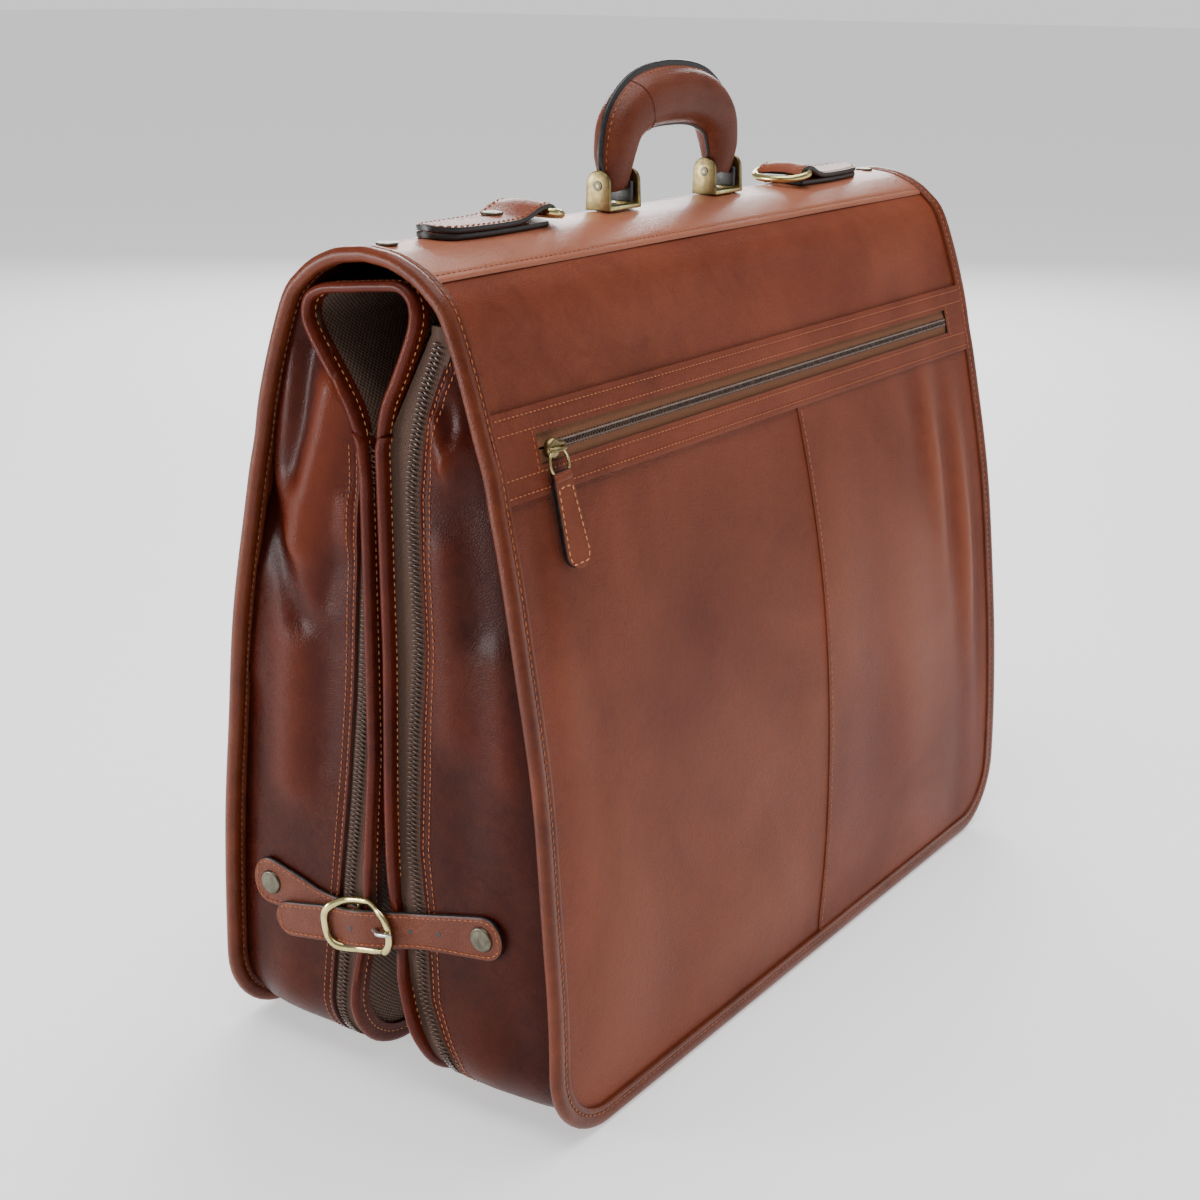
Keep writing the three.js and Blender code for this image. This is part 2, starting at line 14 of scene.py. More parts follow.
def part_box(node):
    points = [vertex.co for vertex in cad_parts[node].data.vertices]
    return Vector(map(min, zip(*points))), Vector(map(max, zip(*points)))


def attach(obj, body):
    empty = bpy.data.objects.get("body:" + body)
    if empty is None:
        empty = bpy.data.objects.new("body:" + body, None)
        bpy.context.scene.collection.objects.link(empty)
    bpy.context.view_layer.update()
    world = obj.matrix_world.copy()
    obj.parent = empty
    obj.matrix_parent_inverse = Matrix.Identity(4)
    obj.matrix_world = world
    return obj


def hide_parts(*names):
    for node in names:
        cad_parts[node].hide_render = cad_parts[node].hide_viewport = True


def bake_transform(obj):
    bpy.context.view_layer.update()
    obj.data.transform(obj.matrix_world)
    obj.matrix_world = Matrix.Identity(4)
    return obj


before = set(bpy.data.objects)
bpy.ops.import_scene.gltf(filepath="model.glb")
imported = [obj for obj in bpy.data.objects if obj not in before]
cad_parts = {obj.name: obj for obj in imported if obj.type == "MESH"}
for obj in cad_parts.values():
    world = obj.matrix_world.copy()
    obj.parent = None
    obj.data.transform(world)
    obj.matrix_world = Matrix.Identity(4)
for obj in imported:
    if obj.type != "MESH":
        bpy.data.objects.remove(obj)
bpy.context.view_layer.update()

MM = 0.001

# %% [markdown]
# The camera stands to the left of the front corner, a little above the handle, and looks down along the spine.
# It comes first, so that every later look at the bag is from the side that matters most.
# %% Camera
def aim_camera(place, turn, dip, roll, lens):
    ahead = Vector((math.sin(turn) * math.cos(dip), math.cos(turn) * math.cos(dip), -math.sin(dip)))
    right = ahead.cross(Vector((0, 0, 1))).normalized()
    up = right.cross(ahead)
    right, up = (math.cos(roll) * right + math.sin(roll) * up, -math.sin(roll) * right + math.cos(roll) * up)
    data = bpy.data.cameras.new("camera")
    data.lens = lens
    data.sensor_width = 36
    data.clip_end = 50
    camera = bpy.data.objects.new("camera", data)
    turned = Matrix((right, up, -ahead)).transposed().to_4x4()
    camera.matrix_world = Matrix.Translation(Vector(place) * MM) @ turned
    bpy.context.scene.collection.objects.link(camera)
    bpy.context.scene.camera = camera
    return camera


aim_camera((-1026.6, -657.9, 620.9), math.radians(55.469), math.radians(17.955), math.radians(0.545), 57.31)
print("camera set")

# %% [markdown]
# Leather is never one colour. Its dye lies in darker patches, worn streaks run through it, and its pores catch the
# light.
# The same two colours also paint light and shade on the folds: darker in their hollows, lighter on their crests. One
# node group makes these effects, with named inputs, and each leather gives it its own colours. The group puts out a
# colour, a roughness and a height. The height goes to a Bump node in the material.
# %% Shared effect: leather skin
def new_group(name, inputs, outputs):
    group = bpy.data.node_groups.new(name, "ShaderNodeTree")
    for label, kind, value in inputs:
        made = group.interface.new_socket(label, in_out="INPUT", socket_type=kind)
        if value is not None:
            made.default_value = value
    for label, kind in outputs:
        group.interface.new_socket(label, in_out="OUTPUT", socket_type=kind)
    return group, group.nodes.new("NodeGroupInput"), group.nodes.new("NodeGroupOutput")


def link(tree, a, a_name, b, b_name):
    tree.links.new(a.outputs[a_name], b.inputs[b_name])


def noise_node(tree, source, scale, detail=3.0, roughness=0.55, distortion=0.0):
    node = tree.nodes.new("ShaderNodeTexNoise")
    node.inputs["Scale"].default_value = scale
    node.inputs["Detail"].default_value = detail
    node.inputs["Roughness"].default_value = roughness
    node.inputs["Distortion"].default_value = distortion
    tree.links.new(source, node.inputs["Vector"])
    return node.outputs["Fac"]


def remap(tree, value, low, high, to_low=0.0, to_high=1.0):
    node = tree.nodes.new("ShaderNodeMapRange")
    node.inputs["From Min"].default_value = low
    node.inputs["From Max"].default_value = high
    node.inputs["To Min"].default_value = to_low
    node.inputs["To Max"].default_value = to_high
    tree.links.new(value, node.inputs["Value"])
    return node.outputs["Result"]


def give(tree, socket, value):
    """Feeds a socket: a plain number or colour is set on it, and an output is linked to it."""
    if isinstance(value, (int, float, tuple)):
        socket.default_value = value
    else:
        tree.links.new(value, socket)


def blend_colours(tree, factor, first, second):
    node = tree.nodes.new("ShaderNodeMix")
    node.data_type = "RGBA"
    tree.links.new(factor, node.inputs["Factor"])
    give(tree, node.inputs["A"], first)
    give(tree, node.inputs["B"], second)
    return node.outputs["Result"]


def math_node(tree, operation, *values):
    node = tree.nodes.new("ShaderNodeMath")
    node.operation = operation
    for socket, value in zip(node.inputs, values):
        give(tree, socket, value)
    return node.outputs["Value"]


def leather_skin():
    group, given, out = new_group(
        "leather_skin",
        [("Vector", "NodeSocketVector", None), ("Body", "NodeSocketColor", (0.2, 0.05, 0.02, 1)),
         ("Pooled Dye and Shade", "NodeSocketColor", (0.1, 0.02, 0.01, 1)), ("Rubbed and Lit", "NodeSocketColor", (0.3, 0.1, 0.05, 1)),
         ("Ridge", "NodeSocketFloat", 0.5), ("Patch Size", "NodeSocketFloat", 9.0),
         ("Polish", "NodeSocketFloat", 0.3)],
        [("Color", "NodeSocketColor"), ("Roughness", "NodeSocketFloat"), ("Height", "NodeSocketFloat")],
    )
    where = given.outputs["Vector"]
    patches = group.nodes.new("ShaderNodeTexNoise")
    patches.inputs["Detail"].default_value = 5.0
    patches.inputs["Distortion"].default_value = 0.8
    group.links.new(where, patches.inputs["Vector"])
    link(group, given, "Patch Size", patches, "Scale")
    broad = remap(group, patches.outputs["Fac"], 0.34, 0.66)
    streaks = remap(group, noise_node(group, where, 62.0, 4.0, 0.6, 1.4), 0.3, 0.75)
    pooled = blend_colours(group, math_node(group, "MULTIPLY", broad, 0.75), given.outputs["Body"],
                           given.outputs["Pooled Dye and Shade"])
    # Painted light: where the Ridge input says a fold stands up, the colour turns lighter; the noise streaks are real
    # wear.
    rub_and_crest_light = math_node(group, "MULTIPLY", remap(group, given.outputs["Ridge"], 0.5, 1.0), 0.75)
    rub_and_crest_light = math_node(group, "MULTIPLY_ADD", streaks, 0.22, rub_and_crest_light)
    rubbed_and_lit = blend_colours(group, rub_and_crest_light, pooled, given.outputs["Rubbed and Lit"])
    # Painted shade: where the Ridge input says a fold sinks in, the colour turns to the darker one.
    hollow_shade = math_node(group, "MULTIPLY", remap(group, given.outputs["Ridge"], 0.5, 0.0), 0.7)
    group.links.new(blend_colours(group, hollow_shade, rubbed_and_lit, given.outputs["Pooled Dye and Shade"]), out.inputs["Color"])
    sheen = math_node(group, "MULTIPLY_ADD", broad, 0.1, given.outputs["Polish"])
    group.links.new(math_node(group, "MULTIPLY_ADD", streaks, 0.07, sheen), out.inputs["Roughness"])
    cells = group.nodes.new("ShaderNodeTexVoronoi")
    cells.feature = "DISTANCE_TO_EDGE"
    cells.inputs["Scale"].default_value = 640.0
    group.links.new(where, cells.inputs["Vector"])
    pores = remap(group, cells.outputs["Distance"], 0.0, 0.24)
    wrinkles = noise_node(group, where, 190.0, 5.0, 0.66, 0.8)
    height = math_node(group, "MULTIPLY_ADD", pores, 0.3, wrinkles)
    group.links.new(height, out.inputs["Height"])
    return group


LEATHER_SKIN = leather_skin()
print("node group:", LEATHER_SKIN.name)

# %% [markdown]
# Each leather is a small material: the skin group, a Bump node and a Principled shader with a thin clear coat, which
# is the wax. A "ridge" attribute on the mesh says where a fold stands up or sinks in, from 0 to 1; the leathers that
# read it get painted shade in the fold hollows and painted light on the crests.
# %% Leathers
def new_material(name, colour):
    material = bpy.data.materials.new(name)
    material.use_nodes = True
    material.diffuse_color = (*colour, 1)
    tree = material.node_tree
    shader = tree.nodes["Principled BSDF"]
    shader.inputs["Base Color"].default_value = (*colour, 1)
    return material, tree, shader


def bump(tree, shader, height, strength, distance):
    node = tree.nodes.new("ShaderNodeBump")
    node.inputs["Strength"].default_value = strength
    node.inputs["Distance"].default_value = distance
    tree.links.new(height, node.inputs["Height"])
    link(tree, node, "Normal", shader, "Normal")


def object_coordinates(tree):
    return tree.nodes.new("ShaderNodeTexCoord").outputs["Object"]


def leather(name, body, pooled, rubbed_and_lit, polish=0.3, coat=0.35, patch=9.0, grain=0.35, ridges=False, gloss=0.2):
    material, tree, shader = new_material(name, body)
    skin = tree.nodes.new("ShaderNodeGroup")
    skin.node_tree = LEATHER_SKIN
    tree.links.new(object_coordinates(tree), skin.inputs["Vector"])
    # The darker colour makes dye patches and also painted shade in fold hollows; the lighter one makes worn streaks
    # and also painted light on fold crests.
    for label, colour in (("Body", body), ("Pooled Dye and Shade", pooled), ("Rubbed and Lit", rubbed_and_lit)):
        skin.inputs[label].default_value = (*colour, 1)
    skin.inputs["Patch Size"].default_value = patch
    skin.inputs["Polish"].default_value = polish
    if ridges:
        attribute = tree.nodes.new("ShaderNodeAttribute")
        attribute.attribute_name = "ridge"
        tree.links.new(attribute.outputs["Fac"], skin.inputs["Ridge"])
    link(tree, skin, "Color", shader, "Base Color")
    link(tree, skin, "Roughness", shader, "Roughness")
    bump(tree, shader, skin.outputs["Height"], grain, 0.0012)
    shader.inputs["Specular IOR Level"].default_value = gloss
    shader.inputs["Coat Weight"].default_value = coat
    shader.inputs["Coat Roughness"].default_value = 0.2
    return material


PANEL_HIDE = leather("panel_hide", (0.2, 0.041, 0.0165), (0.102, 0.0185, 0.008), (0.29, 0.085, 0.039),
                     polish=0.36, coat=0.05, patch=7.0, grain=0.44, ridges=True, gloss=0.1)
WALL_HIDE = leather("wall_hide", (0.046, 0.0058, 0.0028), (0.018, 0.0024, 0.0014), (0.125, 0.023, 0.009),
                    polish=0.2, coat=0.06, patch=8.0, grain=0.28, ridges=True, gloss=0.07)
SPINE_HIDE = leather("spine_hide", (0.34, 0.105, 0.052), (0.24, 0.064, 0.03), (0.46, 0.17, 0.09),
                     polish=0.32, coat=0.14, patch=8.0, grain=0.36, gloss=0.3)
EDGE_HIDE = leather("edge_hide", (0.135, 0.025, 0.008), (0.065, 0.0102, 0.004), (0.28, 0.078, 0.03),
                    polish=0.26, coat=0.14, patch=14.0, grain=0.35, gloss=0.15)
DARK_BINDING = leather("dark_binding", (0.095, 0.0125, 0.005), (0.045, 0.0048, 0.0025), (0.2, 0.038, 0.014),
                       polish=0.24, coat=0.13, patch=12.0, gloss=0.1)
STRAP_HIDE = leather("strap_hide", (0.13, 0.029, 0.012), (0.08, 0.015, 0.006), (0.23, 0.068, 0.03),
                     polish=0.34, coat=0.08, patch=16.0, grain=0.42, gloss=0.16)
TAB_HIDE = leather("tab_hide", (0.21, 0.05, 0.022), (0.14, 0.03, 0.0125), (0.32, 0.095, 0.046),
                   polish=0.34, coat=0.08, patch=16.0, grain=0.42, gloss=0.14)
print("leathers:", [hide.name for hide in (PANEL_HIDE, WALL_HIDE, SPINE_HIDE, EDGE_HIDE, DARK_BINDING, STRAP_HIDE,
                                           TAB_HIDE)])

# %% [markdown]
# Cut leather edges are sealed with black paint, and thread, zip tape, canvas and metal need finishes of their own.
# The two cloths are woven from their UV map, which runs in metres along the cloth, so the weave keeps its size.
# %% Cloth, paint, thread and metal
def weave_height(tree, across, along):
    parts = tree.nodes.new("ShaderNodeSeparateXYZ")
    tree.links.new(tree.nodes.new("ShaderNodeUVMap").outputs["UV"], parts.inputs["Vector"])
    waves = []
    for axis, count in (("X", across), ("Y", along)):
        turn = math_node(tree, "MULTIPLY", parts.outputs[axis], count * 2 * math.pi)
        waves.append(math_node(tree, "SINE", turn))
    over = math_node(tree, "MULTIPLY", *waves)
    return math_node(tree, "MULTIPLY_ADD", over, 0.5, 0.5)


def cloth(name, thread, gap, across, along, depth):
    material, tree, shader = new_material(name, thread)
    height = weave_height(tree, across, along)
    fuzz = noise_node(tree, object_coordinates(tree), 900.0, 3.0)
    body = blend_colours(tree, remap(tree, fuzz, 0.3, 0.7), (*thread, 1), tuple(0.72 * c for c in thread) + (1,))
    tree.links.new(blend_colours(tree, height, (*gap, 1), body), shader.inputs["Base Color"])
    shader.inputs["Roughness"].default_value = 0.85
    bump(tree, shader, math_node(tree, "MULTIPLY_ADD", fuzz, 0.25, height), 0.6, depth)
    return material


def metal(name, bright, dull, roughness, scratches):
    material, tree, shader = new_material(name, bright)
    where = object_coordinates(tree)
    tarnish = remap(tree, noise_node(tree, where, 140.0, 6.0, 0.65, 0.5), 0.38, 0.7)
    tree.links.new(blend_colours(tree, tarnish, (*bright, 1), (*dull, 1)), shader.inputs["Base Color"])
    shader.inputs["Metallic"].default_value = 1.0
    tree.links.new(math_node(tree, "MULTIPLY_ADD", tarnish, 0.16, roughness), shader.inputs["Roughness"])
    bump(tree, shader, noise_node(tree, where, 700.0, 4.0, 0.7), scratches, 0.0003)
    return material


def painted(name, colour, roughness, noise_scale=300.0):
    material, tree, shader = new_material(name, colour)
    spots = noise_node(tree, object_coordinates(tree), noise_scale, 4.0)
    tree.links.new(blend_colours(tree, remap(tree, spots, 0.35, 0.75), (*colour, 1),
                                 tuple(min(1, 1.9 * c + 0.012) for c in colour) + (1,)), shader.inputs["Base Color"])
    tree.links.new(remap(tree, spots, 0.3, 0.7, roughness - 0.06, roughness + 0.12), shader.inputs["Roughness"])
    bump(tree, shader, spots, 0.35, 0.0005)
    return material


BLACK_EDGE = painted("black_edge", (0.006, 0.005, 0.005), 0.42)
THREAD = painted("orange_thread", (0.27, 0.078, 0.025), 0.6, 900.0)
PALE_THREAD = painted("pale_thread", (0.42, 0.19, 0.08), 0.6, 900.0)
# The orange thread again, darkened as painted shade, for stitches on the inner faces of the rolled edges.
SHADED_THREAD = painted("shaded_thread", (0.16, 0.05, 0.025), 0.6, 900.0)
COIL = painted("bronze_coil", (0.05, 0.026, 0.016), 0.24, 500.0)
CANVAS = cloth("canvas", (0.26, 0.165, 0.12), (0.04, 0.022, 0.016), 330.0, 330.0, 0.0008)
POCKET_TAPE = cloth("pocket_tape", (0.3, 0.115, 0.045), (0.13, 0.045, 0.018), 700.0, 450.0, 0.0004)
# Pale cord colour: a painted highlight along the top of the pocket coil.
HIGHLIGHT_CORD = painted("highlight_cord", (0.12, 0.08, 0.06), 0.45, 500.0)
TAPE = cloth("zip_tape", (0.105, 0.05, 0.03), (0.045, 0.02, 0.012), 700.0, 450.0, 0.0004)
BRASS = metal("pale_brass", (0.66, 0.57, 0.27), (0.44, 0.36, 0.15), 0.18, 0.08)
ANTIQUE = metal("antique_brass", (0.3, 0.23, 0.1), (0.13, 0.1, 0.05), 0.3, 0.16)
PEWTER = metal("pewter", (0.15, 0.135, 0.1), (0.07, 0.064, 0.048), 0.34, 0.12)
STEEL = metal("prong_steel", (0.56, 0.58, 0.55), (0.4, 0.42, 0.4), 0.24, 0.05)
for thread in (THREAD, PALE_THREAD, SHADED_THREAD):
    thread_shader = thread.node_tree.nodes["Principled BSDF"]
    thread_shader.inputs["Sheen Weight"].default_value = 0.12
    thread_shader.inputs["Specular IOR Level"].default_value = 0.15
print("finishes:", len(bpy.data.materials))

# %% [markdown]
# A bag maker thinks in lines: the section of the bag, the run of a seam, the centre of a handle. A smooth line
# through a few points, cut into even steps, is the one tool that all the pieces share.
# %% Helpers: lines
def smooth_line(points, steps, closed=False):
    p = np.array(points, float)
    ring = np.vstack([p[-1], p, p[0], p[1]]) if closed else np.vstack([2 * p[0] - p[1], p, 2 * p[-1] - p[-2]])
    dense = []
    for i in range(len(ring) - 3):
        a, b, c, d = ring[i : i + 4]
        for t in np.linspace(0, 1, 20, endpoint=False):
            dense.append(0.5 * (2 * b + (c - a) * t + (2 * a - 5 * b + 4 * c - d) * t**2
                                + (3 * b - a - 3 * c + d) * t**3))
    dense.append(ring[-2])
    return even_steps(np.array(dense), steps)


def even_steps(line, steps):
    line = np.array(line, float)
    run = np.concatenate([[0], np.cumsum(np.linalg.norm(np.diff(line, axis=0), axis=1))])
    at = np.linspace(0, run[-1], steps)
    return np.stack([np.interp(at, run, line[:, k]) for k in range(line.shape[1])], axis=1)


def line_length(line):
    return float(np.linalg.norm(np.diff(np.array(line, float), axis=0), axis=1).sum())


def table_line(pairs):
    keys, values = zip(*sorted(pairs))
    return lambda z: float(np.interp(z, keys, values))


def bell(value, centre, width):
    return math.exp(-(((value - centre) / width) ** 2))


print("a metre of thread holds", int(1000 / 4.4), "stitches")

# %% [markdown]
# Meshes come from a flat grid whose points are moved into place: across for the width of a strip, along for its run.
# Where a strip closes on itself its two edges are welded, and open ends get a cap. That keeps every piece made of
# clean quads and lets one function serve panels, piping, straps and tubes.
# %% Helpers: meshes
def placed_grid(rows, wrap_across=False, wrap_along=False, cap=False, uv_size=None, paint=None, cap_paint=0):
    """rows is a list of rows of points in millimetres; each row runs across the strip. uv_size is the cloth's size.
    paint(column) gives a material slot to each face, and cap_paint is the caps' slot."""
    along, across = len(rows), len(rows[0])
    n_along, n_across = along + wrap_along, across + wrap_across
    mesh = bmesh.new()
    layer = mesh.loops.layers.uv.new("UVMap")
    bmesh.ops.create_grid(mesh, x_segments=n_across - 1, y_segments=n_along - 1, size=0.5, calc_uvs=True)
    if uv_size:
        for face in mesh.faces:
            for corner in face.loops:
                corner[layer].uv = (corner[layer].uv.x * uv_size[0] * MM, corner[layer].uv.y * uv_size[1] * MM)
    if paint:
        for face in mesh.faces:
            face.material_index = paint(int((face.calc_center_median().x + 0.5) * (n_across - 1)))
    for vert in mesh.verts:
        i = round((vert.co.x + 0.5) * (n_across - 1)) % across
        j = round((vert.co.y + 0.5) * (n_along - 1)) % along
        vert.co = Vector(rows[j][i]) * MM
    if wrap_across or wrap_along:
        bmesh.ops.remove_doubles(mesh, verts=mesh.verts[:], dist=1e-6)
    if cap:
        open_edges = [e for e in mesh.edges if e.is_boundary]
        for face in bmesh.ops.holes_fill(mesh, edges=open_edges, sides=0)["faces"]:
            face.material_index = cap_paint
    return mesh


def face_out(mesh, way):
    """Turns a sheet over if, taken together, its faces look against way(middle of a face)."""
    mesh.normal_update()
    if sum(face.normal.dot(way(face.calc_center_median())) for face in mesh.faces) < 0:
        bmesh.ops.reverse_faces(mesh, faces=mesh.faces[:])
    return mesh


def to_the_end(middle):
    return Vector((math.copysign(1, middle.x), 0, 0))


def thicken(mesh, depth, rim=0):
    """Gives a sheet a wall, inwards from its normals, in millimetres. The new rim takes material slot rim."""
    mesh.normal_update()
    inward = {tuple(round(c, 7) for c in v.co): -v.normal.copy() for v in mesh.verts}
    outer = set(mesh.faces)
    made = bmesh.ops.extrude_face_region(mesh, geom=mesh.faces[:], use_keep_orig=True)
    verts = [g for g in made["geom"] if isinstance(g, bmesh.types.BMVert)]
    inner = {g for g in made["geom"] if isinstance(g, bmesh.types.BMFace)}
    for vert in verts:
        vert.co += inward[tuple(round(c, 7) for c in vert.co)] * depth * MM
    for face in mesh.faces:
        if face not in outer and face not in inner:
            face.material_index = rim
    return mesh


def finish_piece(name, mesh, materials, body=None, replaces=(), slot=None, ridge=None):
    bmesh.ops.recalc_face_normals(mesh, faces=mesh.faces[:])
    data = bpy.data.meshes.new(name)
    mesh.to_mesh(data)
    mesh.free()
    piece = bpy.data.objects.new(name, data)
    bpy.context.scene.collection.objects.link(piece)
    for material in materials if isinstance(materials, (list, tuple)) else [materials]:
        data.materials.append(material)
    data.polygons.foreach_set("use_smooth", [True] * len(data.polygons))
    data.set_sharp_from_angle(angle=math.radians(48))
    if ridge:
        values = [ridge(v.co / MM) for v in data.vertices]
        data.attributes.new("ridge", "FLOAT", "POINT").data.foreach_set("value", values)
    if body:
        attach(piece, body)
    if replaces:
        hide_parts(*replaces)
    return piece


def tube(name, line, radius, material, body=None, sides=12, closed=False, **more):
    """A round bar along a line; radius is one number or one for each point."""
    line = [Vector(p) for p in line]
    count = len(line)
    radii = [radius] * count if isinstance(radius, (int, float)) else radius
    rows, side = [], None
    for i, point in enumerate(line):
        ahead = line[(i + 1) % count] if closed or i < count - 1 else point
        behind = line[i - 1] if closed or i > 0 else point
        tangent = (ahead - behind).normalized()
        guess = side or (Vector((0, 0, 1)) if abs(tangent.z) < 0.9 else Vector((1, 0, 0)))
        side = (guess - guess.dot(tangent) * tangent).normalized()
        other = tangent.cross(side)
        turn = [2 * math.pi * k / sides for k in range(sides)]
        rows.append([point + radii[i] * (math.cos(a) * side + math.sin(a) * other) for a in turn])
    return finish_piece(name, placed_grid(rows, True, closed, cap=not closed), material, body, **more)


print("helpers ready")

# %% [markdown]
# ## The cover
# One section line runs from the crown of the spine down to the floor, and is mirrored for the other half. A point on
# the cover is given by its place along the bag (x), its run down the section (s) and how far it stands off (lift).
# %% Section of the cover
CROWN_Z = 490.0
SECTION = smooth_line([(0, CROWN_Z), (22, 486.4), (43.5, 474.6), (60, 452), (84, 374), (109, 245), (123, 105),
                       (126, 0)], 500)
SECTION_RUN = np.concatenate([[0], np.cumsum(np.linalg.norm(np.diff(SECTION, axis=0), axis=1))])
SECTION_SLOPE = np.gradient(SECTION, SECTION_RUN, axis=0)
FOOT = SECTION_RUN[-1]


def on_cover(side, x, s, lift=0.0):
    run = abs(s)
    y, z, slope_y, slope_z = (float(np.interp(run, SECTION_RUN, c)) for c in
                              (SECTION[:, 0], SECTION[:, 1], SECTION_SLOPE[:, 0], SECTION_SLOPE[:, 1]))
    if s < 0:
        y, slope_z = -y, -slope_z
    return Vector((x, side * (y - slope_z * lift), z + slope_y * lift))


def run_at(z):
    return float(np.interp(-z, -SECTION[:, 1], SECTION_RUN))


def depth_at(z):
    return float(np.interp(-z, -SECTION[:, 1], SECTION[:, 0]))


SEAM_RUN = run_at(475.5)
print("section from crown to floor:", round(FOOT), "mm; spine seam at", round(SEAM_RUN), "mm")

# %% [markdown]
# The leather is soft, so no panel lies quite flat. Each fold is a smooth swelling listed as a centre, a width
# and a height. They are added up, and the same sum is stored as the "ridge" value that tints the leather.
# %% Soft shape of the covers
PANEL_FOLDS = [  # x, z, half width in x, half width in z, height
    (205, 300, 10, 70, 2.6), (226, 260, 9, 95, -2.2), (246, 235, 9, 90, 3.0), (262, 200, 7, 90, -1.6),
    (182, 330, 12, 45, -1.6), (150, 180, 34, 90, 1.6), (95, 120, 40, 80, -2.0), (-120, 260, 90, 90, -2.6),
    (-225, 120, 36, 80, 1.8), (-170, 60, 30, 40, -1.6), (-60, 60, 60, 34, 1.6), (60, 240, 30, 90, 1.2),
    (-262, 330, 12, 32, -2.2), (-250, 250, 16, 50, 1.4), (-120, 440, 60, 16, 1.0), (60, 445, 70, 14, -1.0),
    (190, 438, 40, 18, 1.4), (232, 60, 20, 50, -2.0), (10, 150, 22, 70, 1.0),
]


def panel_swell(side, x, z):
    if side > 0:
        x = -x * 0.93 + 14
    fade = min(1.0, (283 - abs(x)) / 22, max(z - 6, 0) / 22)
    fade *= 1 - 0.9 * bell(z, 388, 24) * (side < 0)
    return max(fade, 0) * sum(h * bell(x, cx, wx) * bell(z, cz, wz) for cx, cz, wx, wz, h in PANEL_FOLDS)


# The panel's ridge value paints shade where its folds sink in and light where they stand up.
def panel_ridge(side):
    def value(p):
        return min(1, max(0, 0.5 + 0.13 * panel_swell(side, p.x, p.z)))
    return value


COVER_HALF = 290  # half the cover's length, out to the edge
UNDER_EDGE = 8.0  # how far a panel stops short of that edge


def edge_half_width(s, inset):
    """Half the width of a cover at run s, with its rounded bottom corners."""
    corner = 50 - inset
    left = (FOOT - inset) - s
    half = COVER_HALF - inset
    if left < corner:
        half -= corner - math.sqrt(max(corner**2 - (corner - left) ** 2, 0))
    return half


print("folds in each cover:", len(PANEL_FOLDS))


def across_fold(piece):
    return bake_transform(piece)


def cover_panel(name, side, s_from, s_to, lift, steps, x_from=None, x_to=None, body=None, replaces=()):
    rows = []
    for s in np.linspace(s_from, s_to, steps[1]):
        half = edge_half_width(s, UNDER_EDGE)
        z = on_cover(side, 0, s).z
        low = -half if x_from is None else max(x_from(z), -half)
        high = half if x_to is None else min(x_to(z), half)
        rows.append([on_cover(side, x, s, lift + panel_swell(side, x, z)) for x in np.linspace(low, high, steps[0])])
    mesh = face_out(placed_grid(rows), lambda middle: Vector((0, side, 0)))
    return finish_piece(name, thicken(mesh, 1.6), PANEL_HIDE, body, replaces, "cognac_leather",
                        ridge=panel_ridge(side))


BAND_TOP, BAND_FOOT, WINDOW_TOP, WINDOW_FOOT = run_at(411), run_at(365), run_at(396.5), run_at(380.5)


def pocket_seam(z):
    return 24 + 12 * math.sin(math.pi * min(max((z - 20) / 400, 0), 1)) - 0.02 * (360 - z)


COVER_FOOT = FOOT - UNDER_EDGE
yoke = cover_panel("front_yoke_leather", -1, SEAM_RUN - 4, BAND_TOP + 3, -1.5, (120, 34), replaces=("front_yoke",))
across_fold(yoke)
rear = cover_panel("rear_cover_leather", 1, SEAM_RUN - 4, COVER_FOOT, -1.5, (120, 110), replaces=("rear_panel",))
across_fold(rear)
cover_panel("pocket_panel_left", -1, BAND_FOOT - 3, COVER_FOOT, -1.5, (76, 84), x_to=lambda z: pocket_seam(z) - 1.0,
            body="front_half", replaces=("front_panel_left",))
cover_panel("pocket_panel_right", -1, BAND_FOOT - 3, COVER_FOOT, -0.7, (76, 84), x_from=lambda z: pocket_seam(z) - 5,
            body="front_half", replaces=("front_panel_right",))
print("cover panels made")

# %% [markdown]
# The stiff spine wears its own strip of lighter leather, laid over the tops of both covers. Its long edges are
# turned under, so they are a little rounded, and they run from end to end under the rolled edge.
# %% Spine leather
def spine_lift(s):
    edge = SEAM_RUN - abs(s)
    return 0.25 - 1.1 * max(0, 1 - edge / 2.2) ** 2 - 0.35 * bell(edge, 4.6, 1.1)


spine_rows = []
for s in np.concatenate([np.linspace(-SEAM_RUN, -SEAM_RUN + 8, 14), np.linspace(-SEAM_RUN + 9, SEAM_RUN - 9, 26),
                         np.linspace(SEAM_RUN - 8, SEAM_RUN, 14)]):
    spine_rows.append([on_cover(1, x, s, spine_lift(s) + 0.25 * math.sin(x / 31) * math.cos(s / 17))
                       for x in np.linspace(-281, 281, 130)])
spine_mesh = thicken(face_out(placed_grid(spine_rows), lambda middle: Vector((0, 0, 1))), 1.5)
finish_piece("spine_leather", spine_mesh, SPINE_HIDE, "spine", ("spine_cover",), "cognac_leather")
print("spine leather", round(2 * SEAM_RUN), "mm wide")

# %% [markdown]
# ## Stitches
# A saddle stitch is a short, fat lozenge of thread, pulled down at both ends. Thousands of them are needed, so each
# has only a few faces. A row is laid along a seam, which gives a place, the way along and the way up.
# %% Stitch rows
def lozenge(length, width, depth):
    """One small smooth grain, its long way along x, ready to be laid many times."""
    mesh = bmesh.new()
    shape = Matrix.Diagonal((length / 2 * MM, width / 2 * MM, depth / 2 * MM, 1))
    bmesh.ops.create_uvsphere(mesh, u_segments=6, v_segments=4, radius=1,
                              matrix=shape @ Matrix.Rotation(math.pi / 2, 4, "Y"))
    return mesh


